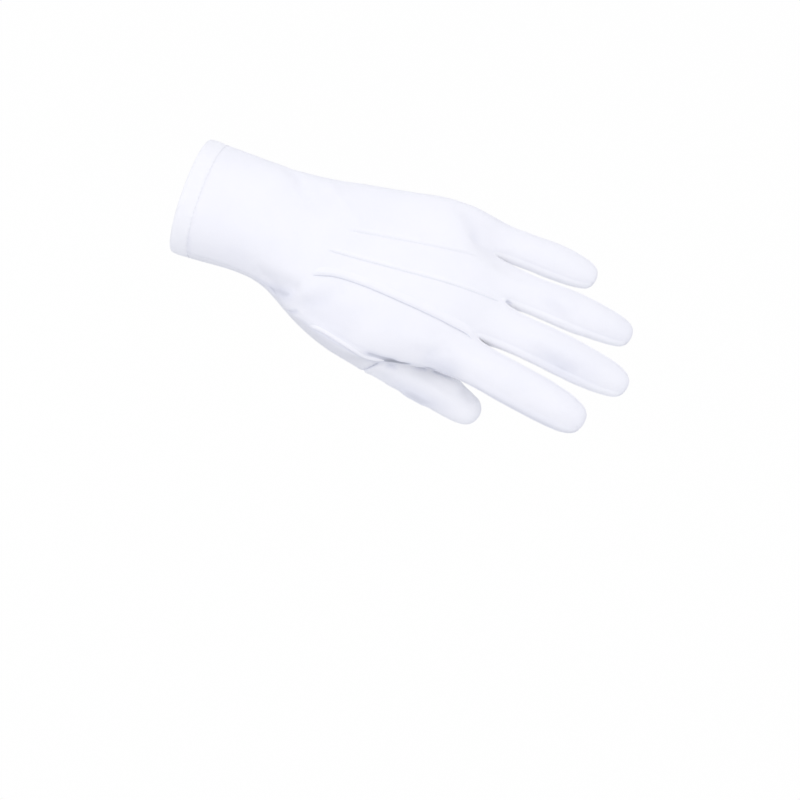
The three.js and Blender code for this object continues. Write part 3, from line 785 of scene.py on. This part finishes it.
def shape_cloth(mesh):
    """Moves the outside by folds, seams and unevenness. The inside follows the folds alone. Also sums the
    painted shade of creases, seams and the hem.
    """
    edges, _, used = edges_of(mesh.faces)
    to_rim = distance_to(mesh, edges[used == 1])
    mesh.points[:, 0] += RIM_RADIUS * (1 - smoothstep(0, RIM_REACH, to_rim))
    folds, depth = crease_heights(tree_of(mesh.points, mesh.faces), mesh.points)
    *seams, hem = seam_lines(mesh)
    to_hem = distance_to(mesh, hem)
    for k, (size, high) in enumerate(SOFT_WAVES):
        folds += high * ripple(mesh.points, size, k + 1)
    relief = -HEM_DEEP * bell(to_hem, SEAM_WIDE)
    pucker = PUCKER * ripple(mesh.points, PUCKER_WAVE, PUCKER_SEED)
    # the hem's painted shade
    depth += HEM_SHADE * bell(to_hem, SEAM_WIDE)
    for lines, share in zip(seams, SEAM_SHARES):
        off = distance_to(mesh, lines)
        groove = bell(off, SEAM_WIDE)
        beside = SWELL.high * bell(off - SWELL.off, SWELL.wide)
        relief += share * (SEAM_DEEP * (beside - groove) + pucker * bell(off, PUCKER_REACH))
        # painted shade in the seam's groove
        depth += SEAM_SHADE * share * groove
    relief += PUCKER * ripple(mesh.points, HEM_WAVE, HEM_SEED) * bell(to_hem, HEM_REACH)
    in_hem = np.zeros(len(mesh.points), bool)
    in_hem[np.unique(mesh.faces[mesh.cloth == HEM])] = True
    puff = np.sin(np.pi * np.clip(to_hem / HEM_SPAN, 0, 1)) ** HEM_ROUND
    relief += np.where(in_hem, HEM_PUFF * puff, 0)
    mesh.outside = mesh.points + mesh.normals * (folds + relief)[:, None]
    mesh.inside = mesh.points + mesh.normals * folds[:, None]
    # the painted shade on each point, kept apart from the shape
    mesh.depth = np.clip(depth, 0, DARKEST)
    mesh.hem_edges = hem


shape_cloth(fine)


# The pieces

EDGE_STEPS = 5  # of the round edge at the wrist


def show(name, data):
    made = bpy.data.objects.new(name, data)
    bpy.context.scene.collection.objects.link(made)
    return made


def make_object(name, points, faces, knit, depth, material, sharp_pairs=()):
    """A mesh object at the origin from points in millimetres. knit is each corner's place in the knit, and
    depth each point's painted shade, kept as an attribute.
    """
    mesh = bpy.data.meshes.new(name)
    mesh.from_pydata((np.asarray(points) * MM).tolist(), [], faces)
    mesh.update()
    mesh.shade_smooth()
    mesh.uv_layers.new(name="Knit").data.foreach_set("uv", np.asarray(knit, np.float32).ravel())
    mesh.attributes.new("painted_shade", "FLOAT", "POINT").data.foreach_set("value", np.asarray(depth, np.float32))
    if len(sharp_pairs):
        ends = np.zeros(len(mesh.edges) * 2, int)
        mesh.edges.foreach_get("vertices", ends)
        ends = np.sort(ends.reshape(-1, 2), axis=1)
        pairs = np.sort(np.asarray(sharp_pairs), axis=1)
        is_sharp = np.isin(ends @ (len(points), 1), pairs @ (len(points), 1))
        mesh.attributes.new("sharp_edge", "BOOLEAN", "EDGE").data.foreach_set("value", is_sharp)
    mesh.materials.append(material)
    return show(name, mesh)


def rim_arc(top, bottom):
    """The points of the round edge at the wrist, between the outside and the inside."""
    centre, radius = (top + bottom) / 2, np.linalg.norm(top - bottom) / 2
    angle = np.pi * np.arange(1, EDGE_STEPS + 1)[:, None] / (EDGE_STEPS + 1)
    return centre + radius * (np.cos(angle) * unit(top - bottom) + np.sin(angle) * [-1.0, 0, 0])


def sew(name, cloth, thickness, material):
    """One cloth's outside, its coarser inside, and the wall round its edges."""
    mine, own = fine.cloth == cloth, coarse.cloth == cloth
    outer_faces, outer_chart = fine.faces[mine], fine.chart[mine]
    inner_faces, inner_chart = coarse.faces[own], coarse.chart[own]
    middles, open_side = fine.half_way[own], coarse.open_side[own]
    outer, inner = np.unique(outer_faces), np.unique(inner_faces)
    slot, inner_slot = np.full(len(fine.points), -1), np.full(len(fine.points), -1)
    slot[outer] = np.arange(len(outer))
    inner_slot[inner] = len(outer) + np.arange(len(inner))
    points = [fine.outside[outer], fine.inside[inner] - fine.normals[inner] * thickness]
    depth = [fine.depth[outer], np.zeros(len(inner))]
    faces = slot[outer_faces].tolist() + inner_slot[inner_faces[:, ::-1]].tolist()
    knit = [
        fine.knit[corners, chart[:, None]].reshape(-1, 2)
        for corners, chart in ((outer_faces, outer_chart), (inner_faces[:, ::-1], inner_chart))
    ]
    _, sides, used = edges_of(inner_faces)
    count = len(outer) + len(inner)
    sharp = []
    rows = {}
    for f, i in zip(*np.nonzero(used[sides] == 1)):
        v, w, mid = inner_faces[f, i], inner_faces[f, (i + 1) % 4], middles[f, i]
        above, below = [slot[w], slot[mid], slot[v]], [inner_slot[v], inner_slot[w]]
        if not open_side[f, i]:
            walls = [above + below]
            sharp += [above[:2], above[1:], below]
        else:
            for end in (v, w):
                if end not in rows:
                    rows[end] = list(range(count, count + EDGE_STEPS))
                    count += EDGE_STEPS
                    points.append(rim_arc(points[0][slot[end]], points[1][inner_slot[end] - len(outer)]))
                    depth.append(np.zeros(EDGE_STEPS))
            a, b = rows[v], rows[w]
            walls = [above + [a[0], b[0]]]
            walls += [[b[k], a[k], a[k + 1], b[k + 1]] for k in range(EDGE_STEPS - 1)]
            walls.append([b[-1], a[-1]] + below)
        for wall in walls:
            faces.append(wall)
            knit.append(fine.knit[[w, mid, v, v, w] if len(wall) == 5 else [w, v, v, w], inner_chart[f]])
    points, knit, depth = (np.concatenate(rows) for rows in (points, knit, depth))
    return make_object(name, points, faces, knit, depth, material, sharp)


# The raised lines: three narrow folds on the back, sewn down along the foot, and the welt above the thumb

# painted shade of the dark line at a tuck's foot, where its shadow falls
FOOT_SHADE = 1.25  # of the line along a tuck's stitches
FOOT_SHADE_WIDE = 0.22
ABOVE = 6  # where the search for the cloth under a raised line starts


def sew_raised(tree, raised, material):
    """A raised line as a strip that hugs the cloth, with its two edges under it, and painted shade at a
    tuck's foot.
    """
    line, normals, run, across = drop(tree, "photo", raised.path, RAISED_STEP)
    along = lengths_along(line)
    size = fade_at_ends(along, along[-1], RAISED_END)
    # painted shade along the tuck's stitched foot
    shade = FOOT_SHADE * raised.high if raised in TUCKS else 0
    points, knit, depth = [], [], []
    for i, centre in enumerate(line):
        for off, high in raised.section:
            side = off * raised.wide * mix(RAISED_NARROW, 1, size[i])
            start = centre + across[i] * side
            foot = tree.ray_cast(Vector(start + normals[i] * ABOVE), Vector(-normals[i]))[0]
            foot = start if foot is None else np.array(foot)
            rise = (high * raised.high * size[i] if high > 0 else high) - RAISED_SINK * (1 - size[i])
            points.append(foot + normals[i] * rise)
            climb = RAISED_KNIT if off > RAISED_CREST else -RAISED_KNIT
            knit.append((line[0][0] + along[i], side + climb * abs(high)))
            depth.append(shade * bell(off, FOOT_SHADE_WIDE))
    n = len(raised.section)
    rows = np.arange(len(line) * n).reshape(-1, n).tolist()
    faces = [[a[k - 1], a[k], b[k], b[k - 1]] for a, b in zip(rows, rows[1:]) for k in [*range(1, n), 0]]
    faces += [rows[0][::-1], rows[-1]]
    if np.dot(np.cross(run[0], across[0]), normals[0]) > 0:
        faces = [face[::-1] for face in faces]
    corners = [knit[p] for face in faces for p in face]
    return make_object(raised.name, points, faces, corners, depth, material)


# The stitches, by Geometry Nodes along a line that carries the cloth's facing

THREAD_STEPS = 6  # along a stitch, and round its thread
THREAD_MIDDLE, THREAD_END = 0.75, 0.2  # what the middle adds to an end's thickness
THREAD_ROUND = 0.4
STITCH_SIZES = ((0.92, 0.9, 0.85), (1.04, 1.1, 1.15))  # least and most, in length, width and height
STITCH_LIFT = 0.05
FOOT_ASIDE = -0.12  # of a tuck's stitches from its line
FOOT_LIFT = 0.02
FOOT_BARE = 6  # steps without stitches at each end of a tuck


def group_of(name, kind, inputs, outputs):
    """An empty node group with its sockets, each a name, a type and perhaps a first value."""
    tree = bpy.data.node_groups.new(name, kind + "NodeTree")
    for in_out, sockets in (("INPUT", inputs), ("OUTPUT", outputs)):
        for label, socket_type, *value in sockets:
            socket = tree.interface.new_socket(label, in_out=in_out, socket_type="NodeSocket" + socket_type)
            if value:
                socket.default_value = value[0]
    return tree


def maker_of(tree):
    """Short forms for one node tree: a node with its inputs set, and a sum. A node given as an input is its
    first output."""

    def node(kind, inputs=None, **settings):
        made = tree.nodes.new(kind if "Node" in kind else "ShaderNode" + kind)
        for key, value in settings.items():
            setattr(made, key, value)
        for key, value in (inputs or {}).items():
            if isinstance(value, bpy.types.Node):
                value = value.outputs[0]
            if isinstance(value, bpy.types.NodeSocket):
                tree.links.new(value, made.inputs[key])
            else:
                made.inputs[key].default_value = value
        return made

    def maths(operation, a, b=0.0, c=0.0):
        return node("Math", {0: a, 1: b, 2: c}, operation=operation)

    return node, maths


def stitches_tree():
    """A row of short arched stitches, one behind the other, along each line of the mesh that comes in."""
    tree = group_of("Stitch row", "Geometry", (
        ("Geometry", "Geometry"), ("Stitch Length", "Float", 0.0022), ("Gap", "Float", 0.0004),
        ("Thread Thickness", "Float", 0.0004), ("Arch", "Float", 0.0002), ("Unevenness", "Float", 0.08),
        ("Seed", "Int", 4), ("Material", "Material"),
    ), (("Geometry", "Geometry"),))
    node, maths = maker_of(tree)
    given = node("NodeGroupInput").outputs
    half = maths("MULTIPLY", given["Stitch Length"], 0.5)
    arch = node("GeometryNodeCurveQuadraticBezier", {
        "Resolution": THREAD_STEPS, "Start": node("CombineXYZ", {"X": maths("MULTIPLY", half, -1.0)}),
        "Middle": node("CombineXYZ", {"Z": maths("MULTIPLY", given["Arch"], 2.0)}),
        "End": node("CombineXYZ", {"X": half}),
    })
    turn = maths("MULTIPLY", node("GeometryNodeSplineParameter").outputs["Factor"], math.pi)
    bulge = maths("MULTIPLY", maths("POWER", maths("SINE", turn), THREAD_ROUND), THREAD_MIDDLE)
    middle, end = (maths("MULTIPLY", share, given["Thread Thickness"]) for share in (bulge, THREAD_END))
    profile = node("GeometryNodeCurvePrimitiveCircle", {"Resolution": THREAD_STEPS, "Radius": 0.5})
    stitch = node("GeometryNodeCurveToMesh", {
        "Curve": arch, "Profile Curve": profile, "Scale": maths("ADD", middle, end), "Fill Caps": True,
    })
    spots = node("GeometryNodeCurveToPoints", {
        "Curve": node("GeometryNodeMeshToCurve", {"Mesh": given["Geometry"]}),
        "Length": maths("ADD", given["Stitch Length"], given["Gap"]),
    }, mode="LENGTH")
    facing = node("GeometryNodeInputNamedAttribute", {"Name": "facing"}, data_type="FLOAT_VECTOR")
    upright = node("FunctionNodeAxesToRotation", {
        "Primary Axis": facing.outputs["Attribute"], "Secondary Axis": spots.outputs["Tangent"],
    }, primary_axis="Z", secondary_axis="X")
    tilt = node("FunctionNodeRandomValue", {
        2: maths("MULTIPLY", given["Unevenness"], -1.0), 3: given["Unevenness"], "Seed": given["Seed"],
    }, data_type="FLOAT").outputs[1]
    lean = {"Rotation": upright, "Rotate By": node("CombineXYZ", {"Z": tilt})}
    stretch = dict(enumerate(STITCH_SIZES), Seed=given["Seed"])
    stretch = node("FunctionNodeRandomValue", stretch, data_type="FLOAT_VECTOR")
    rows = node("GeometryNodeInstanceOnPoints", {
        "Points": spots, "Instance": stitch,
        "Rotation": node("FunctionNodeRotateRotation", lean, rotation_space="LOCAL"),
        "Scale": stretch,
    })
    real = node("GeometryNodeRealizeInstances", {"Geometry": rows})
    smooth = node("GeometryNodeSetShadeSmooth", {"Geometry": real})
    finish = node("GeometryNodeSetMaterial", {"Geometry": smooth, "Material": given["Material"]})
    node("NodeGroupOutput", {"Geometry": finish})
    return tree


ROW = stitches_tree()


def sew_row(name, lines, **sizes):
    """Stitches along lines of (points, normals) in millimetres, as a plain mesh."""
    points, facing, edges = [], [], []
    for places, normals, closed in lines:
        first = len(points)
        points += (np.asarray(places) * MM).tolist()
        facing += list(normals)
        edges += [(first + i, first + i + 1) for i in range(len(places) - 1)]
        if closed:
            edges.append((len(points) - 1, first))
    mesh = bpy.data.meshes.new(name + "_line")
    mesh.from_pydata(points, edges, [])
    mesh.attributes.new("facing", "FLOAT_VECTOR", "POINT").data.foreach_set("vector", np.ravel(facing))
    guide = show(name + "_line", mesh)
    row = guide.modifiers.new("Stitches", "NODES")
    row.node_group = ROW
    for item in ROW.interface.items_tree:
        if item.in_out == "INPUT" and item.name in sizes:
            row[item.identifier] = sizes[item.name]
    shown = guide.evaluated_get(bpy.context.evaluated_depsgraph_get())
    plain = bpy.data.meshes.new_from_object(shown)
    plain.name = name
    bpy.data.objects.remove(guide)
    return show(name, plain)


def hem_row(edges):
    """The hem's stitching line as a closed round of points and normals, a little above the groove."""
    after = {}
    for a, b in edges:
        after.setdefault(a, []).append(b)
        after.setdefault(b, []).append(a)
    start = int(edges[0][0])
    walk, here, before = [start], after[start][0], start
    while here != start:
        walk.append(int(here))
        here, before = next(p for p in after[here] if p != before), here
    normals = fine.normals[walk]
    return fine.outside[walk] + normals * STITCH_LIFT, normals, True


def foot_row(tree, tuck):
    """The stitching line along a tuck's foot."""
    line, normals, _, across = drop(tree, "photo", tuck.path, PIXEL_STEP)
    line = line + across * FOOT_ASIDE + normals * FOOT_LIFT
    return line[FOOT_BARE:-FOOT_BARE], normals[FOOT_BARE:-FOOT_BARE], False


# Materials


def emptied(owner):
    """The short forms for the node tree of a new material or world, with nothing in it yet."""
    owner.use_nodes = True
    owner.node_tree.nodes.clear()
    return maker_of(owner.node_tree)


LEG_SLANT = 1.4  # of each leg of a loop
LOOP_SHARE = 0.55  # how much of the knit's height goes up and down along a rib
RIB_ROUND = 0.6
CREASE_SHADE = 0.75
# painted shade in the hollows between the knit's loops
KNIT_SHADE = 0.12
FUZZ_SHADE = 0.18


def knit_group():
    """Rows of plain knitting as a height from 0 to 1, from a place in millimetres along and across it."""
    tree = group_of("Plain knit", "Shader", (
        ("Place", "Vector"), ("Wale", "Float"), ("Course", "Float"), ("Wander", "Float", 0.12),
    ), (("Height", "Float"),))
    node, maths = maker_of(tree)
    given = node("NodeGroupInput").outputs
    drift = node("TexNoise", {"Vector": given["Place"], "Scale": 0.35, "Detail": 1.0})
    apart = node("SeparateXYZ", {0: given["Place"]}).outputs
    push = maths("MULTIPLY", maths("SUBTRACT", drift, 0.5), given["Wander"])
    along = maths("DIVIDE", maths("ADD", apart["X"], push), given["Course"])
    across = maths("DIVIDE", maths("ADD", apart["Y"], push), given["Wale"])
    leg = maths("ABSOLUTE", maths("SUBTRACT", maths("FRACT", across), 0.5))
    slant = maths("SUBTRACT", along, maths("MULTIPLY", leg, LEG_SLANT))
    loop = maths("MULTIPLY_ADD", maths("COSINE", maths("MULTIPLY", slant, 2 * math.pi)), 0.5, 0.5)
    rib = maths("MULTIPLY_ADD", maths("COSINE", maths("MULTIPLY", leg, 4 * math.pi)), -0.5, 0.5)
    loop = maths("MULTIPLY_ADD", loop, LOOP_SHARE, 1 - LOOP_SHARE)
    height = maths("MULTIPLY", maths("POWER", rib, RIB_ROUND), loop)
    node("NodeGroupOutput", {"Height": height})
    return tree


def cotton_group():
    """The cloth's colour: soft patches and fuzz, and painted shade in the knit's hollows, seams and creases,
    darkest in crevices. Also its fuzz as a height.
    """
    tree = group_of("Cotton patches and painted shade", "Shader", (
        ("Place", "Vector"), ("Clean", "Color"), ("Shaded", "Color"), ("Deep", "Color"), ("Crease", "Float"),
        ("Knit", "Float"), ("Patches", "Float"),
    ), (("Color", "Color"), ("Roughness", "Float"), ("Fuzz", "Float")))
    node, maths = maker_of(tree)
    given = node("NodeGroupInput").outputs
    patch = node("TexNoise", {"Vector": given["Place"], "Scale": 38.0, "Detail": 3.0, "Roughness": 0.55})
    fuzz = node("TexNoise", {"Vector": given["Place"], "Scale": 2600.0, "Detail": 2.0})
    soft = node("MapRange", {"Value": patch, "From Min": 0.35, "From Max": 0.75})
    shade = maths("MULTIPLY", soft, given["Patches"])
    # painted shade: the knit's hollows darker
    low = maths("MULTIPLY", maths("SUBTRACT", 1.0, given["Knit"]), KNIT_SHADE)
    shade = maths("ADD", maths("ADD", shade, low), maths("MULTIPLY", given["Crease"], CREASE_SHADE))
    shade = maths("ADD", shade, maths("MULTIPLY", maths("SUBTRACT", fuzz, 0.5), FUZZ_SHADE))
    shade = maths("MINIMUM", maths("MAXIMUM", shade, 0.0), 1.0)
    pale = node("Mix", {0: shade, 6: given["Clean"], 7: given["Shaded"]}, data_type="RGBA")
    # the deepest painted shade, in crevices
    deep = node("MapRange", {"Value": given["Crease"], "From Min": 0.6, "From Max": 1.5})
    colour = node("Mix", {0: deep, 6: pale.outputs[2], 7: given["Deep"]}, data_type="RGBA")
    rough = node("MapRange", {"Value": fuzz, "To Min": 0.84, "To Max": 0.98})
    node("NodeGroupOutput", {"Color": colour.outputs[2], "Roughness": rough, "Fuzz": fuzz})
    return tree


WHITE = (0.95, 0.95, 0.97)
# the tint of painted shade in hollows, seams and creases, and of the cloth's random soft patches
SHADE_AND_PATCH_TINT = (0.75, 0.765, 0.85, 1)
# the darkest painted shade, for crevices such as under the hand at the thumb's root
DEEP_PAINTED_SHADE = (0.31, 0.32, 0.36, 1)
# painted shade between a thread's plies
PLY_SHADE = (0.86, 0.86, 0.9, 1)  # between a thread's plies
WALE = 0.72  # the width of a column of knitting
COURSE = 0.6  # the length of a row
KNIT_DEEP = 0.00012  # in metres, as bumps are
PLY_DEEP = 0.00005
FUZZ_HIGH = 0.35  # of the fuzz, to the knit's height
FIBRE_HIGH = 0.4  # of the fibres, to the plies'
# painted light: the plies' tops painted paler
PLY_LIGHT = 0.7  # how much of the plies' height shows as a paler colour
PLAIN_KNIT = knit_group()
COTTON_PATCHES_AND_SHADE = cotton_group()


def cotton(name, clean, patches, course=COURSE, deep=KNIT_DEEP):
    """A knitted cotton of a clean colour, with soft patches of a cooler one, and painted shade in its
    hollows, seams and creases.
    """
    material = bpy.data.materials.new(name)
    node, maths = emptied(material)
    laid = node("UVMap", uv_map="Knit")
    knit = node("Group", node_tree=PLAIN_KNIT, inputs={"Place": laid, "Wale": WALE, "Course": course})
    patches_and_shade = node("Group", node_tree=COTTON_PATCHES_AND_SHADE, inputs={
        "Place": node("TexCoord").outputs["Object"], "Knit": knit, "Patches": patches,
        # painted shade from the creases, seams, hem and tucks' feet, read from the mesh
        "Crease": node("Attribute", attribute_name="painted_shade").outputs["Fac"],
        "Clean": (*clean, 1), "Shaded": SHADE_AND_PATCH_TINT, "Deep": DEEP_PAINTED_SHADE,
    })
    height = maths("MULTIPLY_ADD", patches_and_shade.outputs["Fuzz"], FUZZ_HIGH, knit)
    cloth = node("BsdfPrincipled", {
        "Base Color": patches_and_shade.outputs["Color"], "Roughness": patches_and_shade.outputs["Roughness"],
        "Normal": node("Bump", {"Strength": 0.5, "Distance": deep, "Height": height}),
        "Specular IOR Level": 0.25, "Sheen Weight": 0.12, "Sheen Roughness": 0.5,
    })
    node("OutputMaterial", {"Surface": cloth})
    return material


def thread(name, colour):
    """A twisted sewing thread: slanting plies from a wave on its own place, painted shade between them, and
    a soft gleam.
    """
    material = bpy.data.materials.new(name)
    node, maths = emptied(material)
    place = node("TexCoord").outputs["Object"]
    plies = node("TexWave", {"Vector": place, "Scale": 900.0, "Distortion": 3.0, "Detail": 1.0})
    fibre = node("TexNoise", {"Vector": place, "Scale": 4000.0, "Detail": 2.0})
    both = maths("MULTIPLY_ADD", fibre, FIBRE_HIGH, plies.outputs["Fac"])
    light = maths("MULTIPLY", both, PLY_LIGHT)
    colours = node("Mix", {0: light, 6: PLY_SHADE, 7: (*colour, 1)}, data_type="RGBA")
    cloth = node("BsdfPrincipled", {
        "Base Color": colours.outputs[2],
        "Normal": node("Bump", {"Strength": 0.6, "Distance": PLY_DEEP, "Height": both}),
        "Roughness": 0.6, "Sheen Weight": 0.2,
    })
    node("OutputMaterial", {"Surface": cloth})
    return material


BACK_COTTON = cotton("White cotton back", WHITE, 0.12)
# One cloth in every piece: the palm is painted darker as painted shade, and the thumb and the strips paler
# as painted light against the shade that falls on them.
PALM_COTTON = cotton("White cotton palm", (0.9, 0.9, 0.915), 0.2)
THUMB_COTTON = cotton("White cotton thumb", (0.98, 0.98, 0.99), 0.08)
STRIP_COTTON = cotton("White cotton strips", (0.975, 0.975, 0.987), 0.06)
HEM_COTTON = cotton("White cotton hem", (0.97, 0.97, 0.98), 0.1, course=0.58, deep=0.00014)
WHITE_THREAD = thread("White sewing thread", WHITE)


# Sewing it together

CLOTHS = table(
    "name node cloth thickness material",
    ("back_cloth", "back", BACK, CLOTH, BACK_COTTON),
    ("palm_cloth", "palm", PALM, CLOTH, PALM_COTTON),
    ("hem_cloth", "cuff_hem", HEM, HEM_CLOTH, HEM_COTTON),
    ("thumb_cloth", "thumb", THUMB_CLOTH, CLOTH, THUMB_COTTON),
    ("strip_index_middle_cloth", "strip_index_middle", STRIP_IM, CLOTH, STRIP_COTTON),
    ("strip_middle_ring_cloth", "strip_middle_ring", STRIP_MR, CLOTH, STRIP_COTTON),
    ("strip_ring_little_cloth", "strip_ring_little", STRIP_RL, CLOTH, STRIP_COTTON),
)
SMALL_STITCH = {"Stitch Length": 0.0014, "Gap": 0.0005, "Thread Thickness": 0.00024, "Arch": 0.0001}


def fit(piece, node):
    """A piece rides on the glove and stands for its node, whose part is hidden."""
    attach(piece, "root")
    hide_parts(node)


for cloth in CLOTHS:
    fit(sew(cloth.name, cloth.cloth, cloth.thickness, cloth.material), cloth.node)
outside = tree_of(fine.outside, fine.faces)
for raised in RAISED:
    fit(sew_raised(outside, raised, BACK_COTTON), "back")
fit(sew_row("hem_stitches", [hem_row(fine.hem_edges)], Seed=4, Material=WHITE_THREAD), "cuff_hem")
foot_rows = [foot_row(outside, tuck) for tuck in TUCKS]
fit(sew_row("tuck_stitches", foot_rows, Seed=7, Material=WHITE_THREAD, **SMALL_STITCH), "back")


# Floor, light and camera

FLOOR_HEIGHT = -1.0
FLOOR_SIZE = 160.0
LIGHT_AIM = Vector((0.11, 0.0, 0.0))
PAPER = (1, 1, 1, 1)
FLOOR_GLOW = (0.88, 0.9, 0.975, 1)
FLOOR_POWER = 0.84
ROOM_GLOW = (0.903, 0.91, 0.978, 1)
ROOM_POWER = 0.94
LAMPS = table(
    "name place size power colour",
    ("Window", (-0.1, 0.75, 1.1), 0.9, 2.05, (1.0, 0.98, 0.9)),
    ("Front", (0.14, -0.55, 1.2), 0.8, 2.6, (1.0, 0.98, 0.92)),
)


def two_lights(node, kind, glow, power, seen=1.0):
    """White as the camera sees it, and a pale light of its own on the glove."""
    to_camera = node("LightPath").outputs["Is Camera Ray"]
    lit, paper = (node(kind, {"Color": c, "Strength": p}) for c, p in ((glow, power), (PAPER, seen)))
    return node("MixShader", {0: to_camera, 1: lit, 2: paper})


def pale_floor():
    far = FLOOR_SIZE / 2
    corners = [(x, y, FLOOR_HEIGHT) for x, y in ((-far, -far), (far, -far), (far, far), (-far, far))]
    mesh = bpy.data.meshes.new("pale_floor")
    mesh.from_pydata(corners, [], [(0, 1, 2, 3)])
    material = bpy.data.materials.new("Pale floor")
    node, _ = emptied(material)
    place = node("TexCoord").outputs["Object"]
    grain = node("TexNoise", {"Vector": place, "Scale": 1.5, "Detail": 2.0})
    tone = node("MapRange", {"Value": grain, "To Min": 0.992, "To Max": 1.0})
    node("OutputMaterial", {"Surface": two_lights(node, "Emission", FLOOR_GLOW, FLOOR_POWER, tone)})
    mesh.materials.append(material)
    floor = show("pale_floor", mesh)


def pale_room():
    """An even pale light from all round, a little cooler than the lamps'."""
    world = bpy.data.worlds.new("Pale room")
    bpy.context.scene.world = world
    node, _ = emptied(world)
    node("OutputWorld", {"Surface": two_lights(node, "Background", ROOM_GLOW, ROOM_POWER)})


def soft_lamp(lamp):
    """A large square lamp that faces the glove."""
    data = bpy.data.lights.new(lamp.name, "AREA")
    data.shape = "SQUARE"
    data.size = lamp.size
    data.energy = lamp.power
    data.color = lamp.colour
    made = show(lamp.name, data)
    made.location = lamp.place
    made.rotation_euler = (Vector(lamp.place) - LIGHT_AIM).to_track_quat("Z", "Y").to_euler()


def photographs_camera():
    data = bpy.data.cameras.new("Photograph")
    data.sensor_width = SENSOR
    data.lens = FOCUS * SENSOR / FRAME_SIZE
    data.clip_end = CLIP_END
    camera = show("Photograph", data)
    axes = Matrix((CAMERA.right, CAMERA.up, CAMERA.back)).transposed().to_4x4()
    camera.matrix_world = Matrix.Translation(CAMERA.place) @ axes
    bpy.context.scene.camera = camera


pale_floor()
pale_room()
for lamp in LAMPS:
    soft_lamp(lamp)
photographs_camera()
bpy.context.scene.view_settings.view_transform = "Standard"
